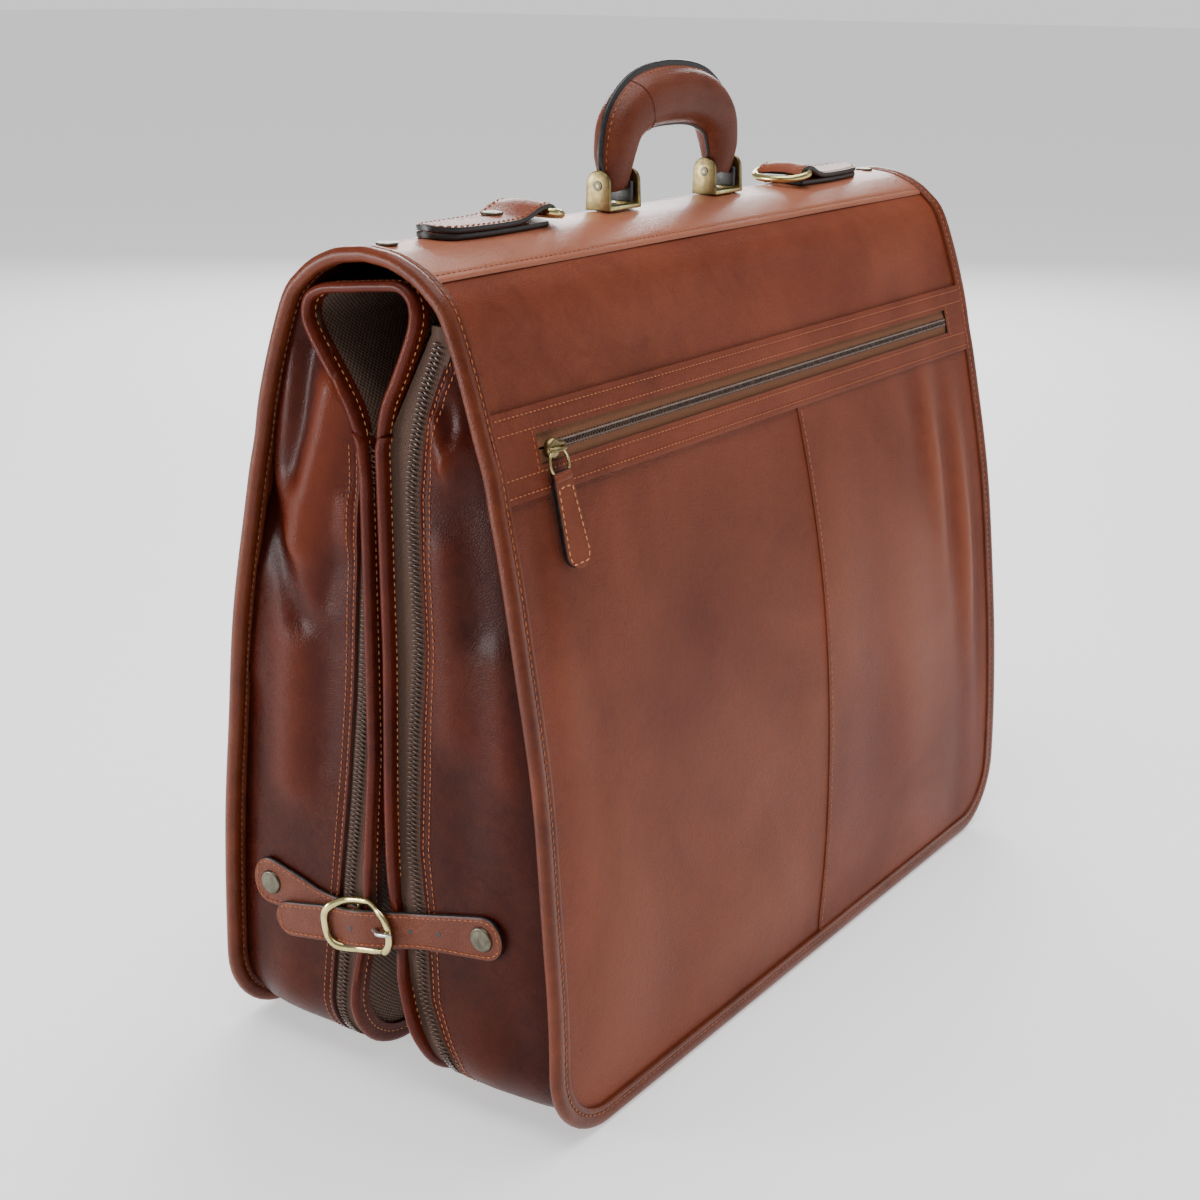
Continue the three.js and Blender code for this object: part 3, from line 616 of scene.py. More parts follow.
def lay_along(name, grain, line, ups, pitch, material, body, shift=None):
    """Lays copies of a grain along a line of points; shift moves and turns each one a little."""
    line = np.array([tuple(p) for p in line], float)
    ups = np.array([tuple(u) for u in ups], float)
    run = np.concatenate([[0], np.cumsum(np.linalg.norm(np.diff(line, axis=0), axis=1))])
    one = bpy.data.meshes.new("grain")
    mesh = bmesh.new()
    count = int(run[-1] / pitch)
    for k in range(count):
        at = (k + 0.5) * run[-1] / count
        here, before, after, up = (Vector([np.interp(a, run, table[:, i]) for i in range(3)])
                                   for a, table in ((at, line), (at - 1, line), (at + 1, line), (at, ups)))
        up.normalize()
        along = (after - before).normalized()
        across = up.cross(along).normalized()
        if shift:
            here, along = shift(k, here, along, across)
            across = up.cross(along).normalized()
        along = across.cross(up).normalized()
        grain.to_mesh(one)
        one.transform(Matrix.Translation(here * MM) @ Matrix((along, across, up)).transposed().to_4x4())
        mesh.from_mesh(one)
    grain.free()
    bpy.data.meshes.remove(one)
    return finish_piece(name, mesh, material, body)


def stitch_row(name, line, ups, thread, body=None, pitch=4.4, length=3.1, width=0.95):
    return lay_along(name, lozenge(length, width, width * 0.85), line, ups, pitch, thread, body)


def cover_stitches(name, side, points, lift, thread, body=None, **more):
    """points are (x, s) pairs along the seam."""
    line = [on_cover(side, x, s, lift + panel_swell(side, x, on_cover(side, 0, s).z) * (abs(x) < 276))
            for x, s in points]
    ups = [on_cover(side, x, s, lift + 1) - on_cover(side, x, s, lift) for x, s in points]
    return stitch_row(name, line, ups, thread, body, **more)


for side in (-1, 1):
    xs = np.linspace(-277, 277, 60)
    name = "spine_seam_stitches_" + ("front" if side < 0 else "rear")
    cover_stitches(name, side, [(x, SEAM_RUN - 4.6) for x in xs], 0.35, THREAD, "spine", length=2.9, width=0.8)
seam_zs = np.linspace(363, 10, 60)
cover_stitches("pocket_seam_stitches", -1, [(pocket_seam(z) - 2.4, run_at(z)) for z in seam_zs], 0.1, THREAD,
               "front_half")
print("spine and pocket seams stitched")

# %% [markdown]
# ## Rolled edge
# Cover and wall are sewn together edge to edge, and a strip of leather is rolled round the join. It makes a stiff
# flange, round on the outside, with a sewn groove on both faces. Its section is drawn once and swept down one end of
# the bag, round the corner, along the foot and up the other end.
# %% Rolled edge of each half
ROLL = [(-6.6, -0.6), (-6.3, 0.5), (-5.2, 1.05), (-4.0, 1.0), (-3.1, 0.62), (-2.3, 0.4), (-1.5, 0.65), (-0.2, 1.25),
        (2.0, 1.55), (3.9, 1.25), (5.2, 0.2), (5.9, -1.5), (6.0, -3.2), (5.5, -4.9), (4.0, -6.3), (1.8, -6.9),
        (-0.2, -6.7), (-1.5, -6.15), (-2.3, -5.85), (-3.1, -6.15), (-4.2, -6.5), (-5.6, -6.4), (-6.5, -5.8)]


def edge_run(s_top, inset=6.0, corner=44.0):
    """The line of the edge in (x, s), from the left-hand top down, round the foot and up on the right."""
    half, foot = COVER_HALF - inset, FOOT - inset
    line = [(-half, s) for s in np.linspace(s_top, foot - corner, 90)]
    turn = np.linspace(0, math.pi / 2, 12)[1:]
    line += [(-half + corner * (1 - math.cos(a)), foot - corner * (1 - math.sin(a))) for a in turn]
    line += [(x, foot) for x in np.linspace(-half + corner, half - corner, 110)[1:-1]]
    line = [(x, s) for x, s in line if x <= 0]
    return line + [(-x, s) for x, s in line[::-1]]


def edge_wave(x, s):
    """The edge wanders a little down both ends of the bag, and stays straight along the foot."""
    wander = 0.7 * math.sin(s / 23.0 + x / 90) * bell(s, 280, 170) - 1.2 * bell(s, 150, 14)
    return wander * (abs(x) > 200)


def swept_edge(side, line, section):
    rows = []
    for i, (x, s) in enumerate(line):
        before, after = line[max(i - 1, 0)], line[min(i + 1, len(line) - 1)]
        dx, ds = after[0] - before[0], after[1] - before[1]
        size = math.hypot(dx, ds)
        out_x, out_s = -ds / size, dx / size
        wave = edge_wave(x, s)
        rows.append([on_cover(side, x + out_x * (a + wave * (abs(out_x) > 0.5)), s + out_s * a, n)
                     for a, n in section])
    return rows


EDGE_TOP = 36.0
for side, half in ((-1, "front"), (1, "rear")):
    line = edge_run(EDGE_TOP)
    mesh = placed_grid(swept_edge(side, line, ROLL), wrap_across=True, cap=True)
    piece = finish_piece(half + "_edge_roll", mesh, EDGE_HIDE, replaces=(half + "_binding",), slot="tan_leather")
    across_fold(piece)
    for face, a, n in (("outer", -2.3, 0.8), ("inner", -2.3, -6.25)):
        seam = [r[0] for r in swept_edge(side, line, [(a, n)])]
        above = [r[0] for r in swept_edge(side, line, [(a, n + (1 if face == "outer" else -1))])]
        ups = [q - p for p, q in zip(seam, above)]
        # The inner face's stitches take the darker thread: painted shade on the same thread as the outer face.
        row = stitch_row(half + "_edge_stitches_" + face, seam, ups, THREAD if face == "outer" else SHADED_THREAD)
        across_fold(row)
print("edge of one half:", round(line_length(line)), "mm")

# %% Rolled ends of the spine
for side, end in ((-1, "left"), (1, "right")):
    line = [(side * 284, s) for s in np.linspace(-EDGE_TOP, EDGE_TOP, 30)]
    rows = [[on_cover(1, side * (284 + a), s, n) for a, n in ROLL] for _, s in line]
    finish_piece("spine_end_roll_" + end, placed_grid(rows, True, cap=True), EDGE_HIDE, "spine",
                 ("spine_binding_" + end,), "tan_leather")
    for face, n in (("outer", 0.8), ("inner", -6.25)):
        seam = [on_cover(1, side * 281.7, s, n) for _, s in line]
        ups = [(on_cover(1, 0, s, 1) - on_cover(1, 0, s)) * (1 if face == "outer" else -1) for _, s in line]
        # The inner face's stitches take the darker thread: painted shade on the same thread as the outer face.
        stitch_row(f"spine_end_stitches_{end}_{face}", seam, ups, THREAD if face == "outer" else SHADED_THREAD, "spine")
print("spine ends rolled")

# %% [markdown]
# ## Pocket band
# The pocket opens in a band sewn across the front. It is one strip with a long window, its edges cut raw and painted
# dark. It is made as one sheet, from which the window's faces are cut, before it gets its thickness.
# %% Pocket band
WINDOW = (-246.0, 250.0)
BAND_LIFT, BAND_END, BAND_Z = 0.85, 282, 388


def band_swell(x):
    """The stiff band follows a third of the swelling of the cover under it."""
    return 0.35 * panel_swell(-1, x, BAND_Z)


def band_sheet():
    xs = np.concatenate([np.linspace(-BAND_END, WINDOW[0], 12), np.linspace(WINDOW[0], WINDOW[1], 120)[1:],
                         np.linspace(WINDOW[1], BAND_END, 12)[1:]])
    runs = np.concatenate([np.linspace(BAND_TOP, WINDOW_TOP, 9), np.linspace(WINDOW_TOP, WINDOW_FOOT, 7)[1:],
                           np.linspace(WINDOW_FOOT, BAND_FOOT, 9)[1:]])
    rows = []
    for s in runs:
        edge = min(abs(s - BAND_TOP), abs(s - BAND_FOOT))
        rows.append([on_cover(-1, x, s, BAND_LIFT - 0.3 * max(0, 1 - edge / 1.6) - 0.25 * bell(edge, 3.6, 0.9)
                              + band_swell(x)) for x in xs])
    mesh = placed_grid(rows)
    middles = [(face, face.calc_center_median() / MM) for face in mesh.faces]
    opening = [face for face, middle in middles
               if WINDOW[0] < middle.x < WINDOW[1] and WINDOW_TOP < run_at(middle.z) < WINDOW_FOOT]
    bmesh.ops.delete(mesh, geom=opening, context="FACES")
    return thicken(face_out(mesh, lambda middle: Vector((0, -1, 0))), 2.0, rim=1)


finish_piece("pocket_band_leather", band_sheet(), [PANEL_HIDE, BLACK_EDGE], "front_half", ("pocket_band",),
             "tan_leather", ridge=lambda p: 0.5)
xs = np.linspace(-278, 278, 60)
across_window = np.linspace(WINDOW_TOP - 3, WINDOW_FOOT + 3, 12)
band_rows = {label: ([(x, s) for x in xs], 0.1, 1) for label, s in (
    ("top", BAND_TOP + 3.6), ("above_zip", WINDOW_TOP - 3.2), ("below_zip", WINDOW_FOOT + 3.2),
    ("foot", BAND_FOOT - 3.6))}
band_rows |= {label: ([(x, s) for s in across_window], 0.15, 0) for label, x in (
    ("left", WINDOW[0] - 3), ("right", WINDOW[1] + 3))}
for label, (points, above, swells) in band_rows.items():
    line = [on_cover(-1, x, s, BAND_LIFT + above + swells * band_swell(x)) for x, s in points]
    ups = [on_cover(-1, x, s, 1) - on_cover(-1, x, s) for x, s in points]
    stitch_row("pocket_band_stitches_" + label, line, ups, THREAD, "front_half", pitch=3.7, length=2.7, width=0.8)
print("pocket band:", round(BAND_FOOT - BAND_TOP), "mm wide, window", round(WINDOW[1] - WINDOW[0]), "mm long")

# %% [markdown]
# Behind the window lie two tapes and, between them, the coil of the zip. A coil zip is two springs of wire whose
# turns lock into each other, so each turn is a small slanting lozenge, laid alternately from the left and the right.
# %% Helper: zip coils
def coil_row(name, line, ups, body=None, pitch=1.25, reach=2.1, wire=0.95):
    def turn_of_wire(k, here, along, across):
        hand = 1 if k % 2 else -1
        return here + across * hand * reach * 0.6, across + 0.14 * hand * along

    grain = lozenge((reach + 0.9) * 1.24, wire, wire * 1.2)
    return lay_along(name, grain, line, ups, pitch, COIL, body, turn_of_wire)


ZIP_RUN = (WINDOW_TOP + WINDOW_FOOT) / 2
TAPE_LEFT, TAPE_RIGHT, TAPE_WIDTH = -256, 262, 13
for label, s_from, s_to in (("upper", WINDOW_TOP - 6, ZIP_RUN - 0.6), ("lower", ZIP_RUN + 0.6, WINDOW_FOOT + 6)):
    rows = [[on_cover(-1, x, s, -1.75 + 1.1 * bell(s, ZIP_RUN, 3.6) + band_swell(x))
             for x in np.linspace(TAPE_LEFT, TAPE_RIGHT, 110)] for s in np.linspace(s_from, s_to, 10)]
    tape = placed_grid(rows, uv_size=(TAPE_RIGHT - TAPE_LEFT, TAPE_WIDTH))
    finish_piece("pocket_zip_tape_" + label, thicken(tape, 0.8), POCKET_TAPE, "front_half", ("pocket_zip",),
                 "zip_tape")
line = [on_cover(-1, x, ZIP_RUN, 0.25 + band_swell(x)) for x in np.linspace(-236, WINDOW[1] - 2, 80)]
ups = [on_cover(-1, 0, ZIP_RUN, 1) - on_cover(-1, 0, ZIP_RUN)] * len(line)
coil_row("pocket_zip_coil", line, ups, "front_half", pitch=1.35, reach=2.1, wire=1.15)
# Two cords stand for the threads that hold the coil; the upper one's pale colour is a painted highlight along the
# coil's top, the lower one is bronze like the coil.
for label, shift, finish in (("upper", -1.5, HIGHLIGHT_CORD), ("lower", 1.7, COIL)):
    line = [on_cover(-1, x, ZIP_RUN + shift, 0.5 + band_swell(x)) for x in np.linspace(-233, WINDOW[1] - 2, 80)]
    tube("pocket_zip_cord_" + label, line, 0.55, finish, "front_half", sides=8, slot="zip_tape")
print("pocket zip laid")

# %% [markdown]
# ## Walls
# Each half has a wall of softer, darker leather that runs down one end, along the foot and up the other end. It
# stands lower than the rolled edge, and at the left end it has sunk into folds. Every fold is a line with a height
# and a width, measured from the middle plane (y) and the floor (z). Points near the line are lifted by that much.
# %% Wall outline
WALL_X, WALL_TOP, WALL_CORNER, WALL_FOOT = 284.0, 458.0, 46.0, 3.0
ZIP_EDGE = {
    -1: table_line([(470, 54), (443, 51.5), (416, 40.5), (389, 34), (362, 31), (329, 32), (279, 34), (221, 29),
                    (160, 26), (118, 30), (68, 32), (35, 45), (0, 46)]),
    1: table_line([(470, 40), (452, 36), (443, 33.5), (431, 25.5), (417, 15.5), (403, 9), (388, 7), (365, 8.5),
                   (302, 13.5), (242, 18), (180, 25), (115, 34), (68, 40), (35, 44), (0, 46)]),
}
INNER_EDGE = {
    -1: table_line([(0, 27), (35, 24), (76, 13), (125, 8), (187, 8), (270, 10), (348, 9), (388, 8.5), (450, 41)]),
    1: table_line([(0, 26), (50, 23), (85, 18), (145, 9), (209, 3.4), (275, 3), (325, 3), (369, 3), (388, 5),
                   (450, 42)]),
}


def wall_path(top, foot=WALL_FOOT, half=WALL_X, corner=WALL_CORNER, fine=100):
    """Points (x, z) with their outward way, down the left end, along the foot and up the right end."""
    path = [(-half, z, -1.0, 0.0) for z in np.linspace(top, foot + corner, fine)]
    for a in np.linspace(0, math.pi / 2, 14)[1:-1]:
        nx, nz = -math.cos(a), -math.sin(a)
        path.append((-half + corner * (1 + nx), foot + corner * (1 + nz), nx, nz))
    path += [(x, foot, 0.0, -1.0) for x in np.linspace(-half + corner, 0, fine // 2)]
    return path + [(-x, z, -nx, nz) for x, z, nx, nz in path[-2::-1]]


def line_distance(y, z, points):
    best = 1e9
    for (ay, az), (by, bz) in zip(points, points[1:]):
        dy, dz = by - ay, bz - az
        t = min(1, max(0, ((y - ay) * dy + (z - az) * dz) / (dy * dy + dz * dz)))
        best = min(best, math.hypot(y - ay - t * dy, z - az - t * dz))
    return best


WALL_FOLDS = {  # line of (y, z), width, height
    1: [([(57, 456), (61, 407), (66, 360)], 11.0, 3.6), ([(24, 412), (35, 380), (47, 348), (52, 326)], 15.0, 9.0),
        ([(44, 436), (50, 392), (58, 366)], 10.0, -5.0), ([(90, 366), (80, 338), (68, 308), (58, 280)], 10.5, -5.2),
        ([(19, 350), (20, 334)], 8.0, 2.6), ([(32, 314), (37, 296)], 9.0, -2.4),
        ([(62, 296), (66, 240), (70, 180)], 17.0, 4.2), ([(96, 300), (100, 240)], 12.0, 2.0),
        ([(36, 270), (44, 200)], 14.0, -1.6), ([(76, 70), (80, 40)], 18.0, 2.4),
        ([(33, 436), (38, 448)], 9.0, -2.0)],
    -1: [([(43, 404), (47, 386), (50, 381)], 6.0, 2.8), ([(50, 381), (56, 394)], 5.6, 2.4),
         ([(50, 412), (52, 398)], 5.0, -2.6), ([(58, 424), (63, 404)], 6.0, -2.2),
         ([(62, 360), (68, 300)], 15.0, -2.8), ([(47, 330), (50, 240)], 14.0, 2.6),
         ([(86, 280), (90, 220)], 14.0, 2.6), ([(58, 200), (62, 150)], 16.0, -1.6),
         ([(92, 140), (96, 60)], 14.0, -2.4),
         ([(60, 60), (64, 30)], 18.0, 2.0)],
}


def wall_swell(side, x, z, y, from_edge):
    """How far the wall stands out: low beside the rolled edge, full in the middle, level at the zip.
    The folds of the right end are those of the left one, a little weaker and moved."""
    base = -6.0 * math.exp(-((from_edge / 13.0) ** 1.35))
    fade = min(1.0, max(0.0, (abs(x) - 225) / 40))
    hold = 1 - 0.95 * bell(z, 104, 34)
    if x > 0:
        y, z, fade = y * 0.92 + 5, z - 9, 0.72 * fade
    return base + fade * hold * sum(h * bell(line_distance(y, z, line), 0, w) for line, w, h in WALL_FOLDS[side])


print("walls run", round(line_length([p[:2] for p in wall_path(WALL_TOP)])), "mm round the bag")

# %% [markdown]
# The grid of a wall runs across from the rolled edge to the zip, and along round the bag. Its zip edge is turned
# under, so it gets a small bead, and two rows of stitches hold it to the tape.
# %% Leather walls
def wall_point(side, x, z, nx, nz, from_edge, width, edge_y, lift=0.0):
    y = edge_y - from_edge
    swell = wall_swell(side, x, z, y, from_edge)
    to_zip = width - from_edge
    swell += 0.5 * bell(to_zip, 1.2, 1.4) - 0.45 * bell(to_zip, 3.2, 1.0) - 1.0 * max(0, 1 - to_zip / 0.9) ** 2
    if nz < -0.5:
        swell = min(swell, 1.2)
    reach = swell + lift
    return Vector((x + nx * reach, side * y, z + nz * reach))


def wall_span(side, z):
    """The wall's outer edge and its width at a height."""
    outer = max(depth_at(z) - 4.5, ZIP_EDGE[side](z) + 3)
    return outer, outer - ZIP_EDGE[side](z)


def wall_rows(side, path):
    rows = []
    for x, z, nx, nz in path:
        outer, width = wall_span(side, z)
        steps = np.concatenate([np.linspace(0, 0.86, 34), np.linspace(0.88, 1, 12)])
        rows.append([wall_point(side, x, z, nx, nz, u * width, width, outer) for u in steps])
    return rows


def wall_seam(side, path, from_zip, lift):
    line, ups = [], []
    for x, z, nx, nz in path:
        outer, width = wall_span(side, z)
        at = max(width - from_zip, 0)
        line.append(wall_point(side, x, z, nx, nz, at, width, outer, lift))
        ups.append(Vector((nx, 0, nz)))
    return line, ups


# The wall's ridge value paints shade where it sinks, also along the low strip beside the rolled edge, and light where
# its folds stand up.
def wall_ridge(side):
    def value(p):
        y = abs(p.y)
        if p.z < 12:
            return 0.5
        from_edge = max(depth_at(p.z) - 4.5 - y, 0)
        return min(1, max(0, 0.52 + 0.075 * wall_swell(side, p.x, p.z, y, from_edge)))
    return value


for side, half in ((-1, "front"), (1, "rear")):
    path = wall_path(WALL_TOP)
    mesh = face_out(placed_grid(wall_rows(side, path)), to_the_end)
    finish_piece(half + "_wall_leather", thicken(mesh, 1.3), WALL_HIDE, half + "_half", (half + "_gusset",),
                 "cognac_leather", ridge=wall_ridge(side))
    for label, from_zip in (("near", 3.0), ("far", 7.2)):
        line, ups = wall_seam(side, wall_path(444 if side < 0 else 386), from_zip, 0.25)
        stitch_row(f"{half}_wall_stitches_{label}", line, ups, THREAD, half + "_half", pitch=3.9, length=2.8,
                   width=0.85)
print("walls sewn")

# %% [markdown]
# ## End zips
# A tape closes the gap between each wall and the inner edge, and the coil lies on it. Both are swept along the same
# way round the bag as the wall, a little lower than the leather.
# %% Zips round the halves
ZIP_TOP = {-1: 446.0, 1: 386.0}


def coil_line(side, z):
    return ZIP_EDGE[side](z) - 6.0


def tape_level(y, side, z):
    return -1.9 + 0.9 * bell(y, coil_line(side, z), 3.4)


for side, half in ((-1, "front"), (1, "rear")):
    rows = []
    for x, z, nx, nz in wall_path(WALL_TOP - 4):
        outer, inner = ZIP_EDGE[side](z) + 2.2, max(INNER_EDGE[side](z) - 0.5, 0.6)
        row = []
        for y in np.linspace(outer, min(inner, outer - 1), 16):
            level = tape_level(y, side, z)
            row.append((x + nx * level, side * y, z + nz * level))
        rows.append(row)
    mesh = face_out(placed_grid(rows, uv_size=(22, 1440)), to_the_end)
    finish_piece(half + "_zip_tape", thicken(mesh, 0.8), TAPE, half + "_half", (half + "_zip",), "zip_tape")
    line, ups = [], []
    for x, z, nx, nz in wall_path(ZIP_TOP[side]):
        line.append((x - 0.1 * nx, side * coil_line(side, z), z - 0.1 * nz))
        ups.append((nx, 0, nz))
    coil_row(half + "_zip_coil", line, ups, half + "_half", pitch=1.45, reach=2.7, wire=1.25)
print("end zips laid")

# %% [markdown]
# ## Inner edges
# Where a wall meets the lining of its half, the seam is bound with dark red leather. The bound edge stands out past
# the zip and has one row of pale stitches on its faces.
# %% Bound inner edges
BEAD = [(-6.0, -2.7), (-3.2, -2.7), (-1.4, -2.3), (0.4, -2.75), (3.0, -3.0), (5.2, -2.2), (6.1, 0.0), (5.2, 2.2),
        (3.0, 3.0), (0.4, 2.75), (-1.4, 2.3), (-3.2, 2.7), (-6.0, 2.7)]


def inner_reach(z, x):
    return 0.2 - 4.6 * bell(z, 104, 26) * (abs(x) > 230)


def bound_edge_rows(side, path, section):
    rows = []
    for x, z, nx, nz in path:
        y, reach = INNER_EDGE[side](z), inner_reach(z, x)
        rows.append([(x + nx * (a + reach), side * (y + b), z + nz * (a + reach)) for a, b in section])
    return rows


for side, half in ((-1, "front"), (1, "rear")):
    path = wall_path(393.0, foot=WALL_FOOT + 6.5)
    mesh = placed_grid(bound_edge_rows(side, path, BEAD), wrap_across=True, cap=True)
    finish_piece(half + "_inner_bound_edge", mesh, DARK_BINDING, half + "_half", (half + "_inner_binding",),
                 "tan_leather")
    for label, b in (("a", 2.45), ("b", -2.45)):
        rows = bound_edge_rows(side, path, [(-1.4, b), (-1.4, b + math.copysign(1, b))])
        line = [Vector(r[0]) for r in rows]
        ups = [Vector(r[1]) - Vector(r[0]) for r in rows]
        stitch_row(f"{half}_inner_edge_stitches_{label}", line, ups, PALE_THREAD, half + "_half",
                   pitch=4.2, length=2.6, width=0.8)
print("inner edges bound")

# %% [markdown]
# ## Canvas
# The bag is lined with brown canvas. Each half has a lining that faces its neighbour, and under the spine the two
# join in a loop, through which the hangers pass. The loop is open at both ends and its rim is bound in leather.
# Each cloth is cut flat, and its flat size sets the scale of its UV map, so the weave keeps its size.
# %% Canvas linings
for side, half in ((-1, "front"), (1, "rear")):
    heights = np.linspace(447, 6, 70)
    section = [(INNER_EDGE[side](z), z) for z in heights]
    rows = []
    for y, z in section:
        corner = max(0, WALL_CORNER - (z - WALL_FOOT))
        half_width = 277 - (WALL_CORNER - math.sqrt(max(WALL_CORNER**2 - corner**2, 0)))
        rows.append([(x, side * (y + 1.2 * math.sin(x / 47) * math.sin(z / 39) * bell(x, 0, 210)), z)
                     for x in np.linspace(-half_width, half_width, 60)])
    flat = (554, line_length(section))
    mesh = face_out(placed_grid(rows, uv_size=flat), lambda middle: Vector((0, -side, 0)))
    lining = finish_piece(half + "_canvas_lining", thicken(mesh, 1.0), CANVAS, half + "_half",
                          (half + "_inner_panel",), "canvas")
    print(half, "lining", round(flat[0]), "x", round(flat[1]), "mm")

# %% Canvas loop under the spine
LOOP = smooth_line([(-7.0, 383), (-13, 408), (-21, 425), (-30, 445), (-33.5, 457), (-32, 466.5), (-24, 472.3),
                    (-8, 471.4), (10, 469.4), (28, 467), (38, 461.5), (40.5, 452), (37, 443), (29, 431), (19, 417),
                    (10.5, 403), (4.0, 384)], 110)
LOOP_LENGTH = 562
LOOP_ACROSS = np.gradient(LOOP, axis=0)
LOOP_ACROSS = np.stack([-LOOP_ACROSS[:, 1], LOOP_ACROSS[:, 0]], axis=1)
LOOP_ACROSS /= np.linalg.norm(LOOP_ACROSS, axis=1)[:, None]
rows = [[(x, y - ny * 1.2, z - nz * 1.2) for x in np.linspace(-281, 281, 60)]
        for (y, z), (ny, nz) in zip(LOOP, LOOP_ACROSS)]
loop_flat = (LOOP_LENGTH, line_length(LOOP))
tunnel = finish_piece("canvas_loop", thicken(placed_grid(rows, uv_size=loop_flat), 1.0), CANVAS, "spine",
                      ("fold_tunnel",), "canvas")
for end, sign in (("left", -1), ("right", 1)):
    rows = []
    for k, ((y, z), (ny, nz)) in enumerate(zip(LOOP, LOOP_ACROSS)):
        from_end = min(1, min(k, len(LOOP) - 1 - k) / 9)  # the rim grows slim at both ends, to tuck in
        slim = 0.3 + 0.66 * math.sqrt(1 - (1 - from_end) ** 2)
        rows.append([(sign * (284.2 - 2.0 * (0.96 - slim) + a * slim / 0.96), y + ny * b * slim, z + nz * b * slim)
                     for a, b in BEAD])
    finish_piece("loop_rim_" + end, placed_grid(rows, wrap_across=True, cap=True), DARK_BINDING, "spine", (),
                 "tan_leather")
    for label, b in (("a", 2.4), ("b", -2.4)):
        line = [Vector((sign * 282.8, y + ny * b, z + nz * b)) for (y, z), (ny, nz) in zip(LOOP, LOOP_ACROSS)][3:-3]
        ups = [Vector((0, ny * b, nz * b)) for ny, nz in LOOP_ACROSS][3:-3]
        stitch_row(f"loop_rim_stitches_{end}_{label}", line, ups, PALE_THREAD, "spine", pitch=4.2, length=2.7,
                   width=0.8)
print("canvas loop:", round(loop_flat[1]), "mm round")

# %% [markdown]
# ## Straps and tabs
# Every strap is leather cut to an outline, with its edge painted black and a row of stitches just inside it. One
# helper sweeps a flat section with slightly rounded edges along a line. It is told how wide the strap is at each
# point, and where a point of the strap lies in space.
# %% Helper: straps
STRAP_SECTION = [(-1, 0.5, 0.02), (-1, 0.05, 0.22), (-1, 0.0, 0.5), (-1, 0.05, 0.78), (-1, 0.5, 0.97), (-0.6, 0, 1.0),
                 (-0.2, 0, 1.03), (0.2, 0, 1.03), (0.6, 0, 1.0), (1, 0.5, 0.97), (1, 0.05, 0.78), (1, 0.0, 0.5),
                 (1, 0.05, 0.22), (1, 0.5, 0.02), (0.5, 0, 0.0), (-0.5, 0, 0.0)]
BLACK_COLUMNS = (0, 1, 2, 3, 9, 10, 11, 12)


def round_ended(length, half, start_half, end_half, waist=None, full_start=False):
    """Run and half width of a strap with round ends; waist bends the width between them."""
    def middle(s):
        share = s / length
        width = start_half + (end_half - start_half) * share if half is None else half
        return width + (waist(s) if waist else 0)

    runs = list(start_half * (1 - np.cos(np.linspace(0.12, math.pi / 2, 9)))) if not full_start else [0.0]
    runs += list(np.linspace(runs[-1], length - end_half, 40)[1:])
    runs += list(length - end_half * (1 - np.sin(np.linspace(0, math.pi / 2 - 0.12, 9)))[1:])
    table = []
    for s in runs:
        width = middle(s)
        if s < start_half and not full_start:
            width *= math.sqrt(max(1 - (1 - s / start_half) ** 2, 0))
        if s > length - end_half:
            width *= math.sqrt(max(1 - (1 - (length - s) / end_half) ** 2, 0))
        table.append((s, max(width, 0.7)))
    return table


def strap_piece(name, table, place, thick, body, replaces=(), hide=STRAP_HIDE, stitch=THREAD, inside=2.4, pitch=3.9):
    """table holds (run, half width); place(run, across, height) gives a point in millimetres."""
    rows = [[place(s, share * half - math.copysign(inset, share), level * thick)
             for share, inset, level in STRAP_SECTION] for s, half in table]
    mesh = placed_grid(rows, wrap_across=True, cap=True, cap_paint=1,
                       paint=lambda column: int(column in BLACK_COLUMNS))
    finish_piece(name, mesh, [hide, BLACK_EDGE], body, replaces, "tan_leather")
    if stitch:
        first, last, level = table[0][0] + inside, table[-1][0] - inside, thick + 0.12
        inner = [(s, half - inside) for s, half in table if half > inside + 0.6 and first <= s <= last]
        around = [(s, -w) for s, w in inner] + [(s, w) for s, w in inner[::-1]] + [(inner[0][0], -inner[0][1])]
        line = [Vector(place(s, w, level)) for s, w in around]
        ups = [Vector(place(s, w, level + 1)) - Vector(place(s, w, level)) for s, w in around]
        stitch_row(name + "_stitches", line, ups, stitch, body, pitch=pitch, length=pitch * 0.7, width=0.8)


def along_path(path):
    """Turns a drawn side view (run, height) into a place for straps that bend."""
    line = smooth_line(path, 120)
    run = np.concatenate([[0], np.cumsum(np.linalg.norm(np.diff(line, axis=0), axis=1))])
    way = np.gradient(line, run, axis=0)

    def point(s, height):
        u, v, du, dv = (float(np.interp(s, run, c)) for c in (line[:, 0], line[:, 1], way[:, 0], way[:, 1]))
        size = math.hypot(du, dv)
        return u - dv / size * height, v + du / size * height

    return point, float(run[-1])


# %% Helper: rivets, plates and screws
def turned_piece(name, profile, place, up, material, body, replaces=(), slot="old_brass", steps=28):
    """Spins a profile of (radius, height) about its own axis, then stands it at place along up."""
    mesh = bmesh.new()
    verts = [mesh.verts.new((r * MM, 0, h * MM)) for r, h in profile]
    edges = [mesh.edges.new(pair) for pair in zip(verts, verts[1:])]
    bmesh.ops.spin(mesh, geom=verts + edges, cent=(0, 0, 0), axis=(0, 0, 1), angle=2 * math.pi, steps=steps,
                   use_merge=True)
    bmesh.ops.remove_doubles(mesh, verts=mesh.verts[:], dist=1e-6)
    turned = Vector(up).to_track_quat("Z", "Y").to_matrix().to_4x4()
    bmesh.ops.transform(mesh, matrix=Matrix.Translation(Vector(place) * MM) @ turned, verts=mesh.verts[:])
    return finish_piece(name, mesh, material, body, replaces, slot)


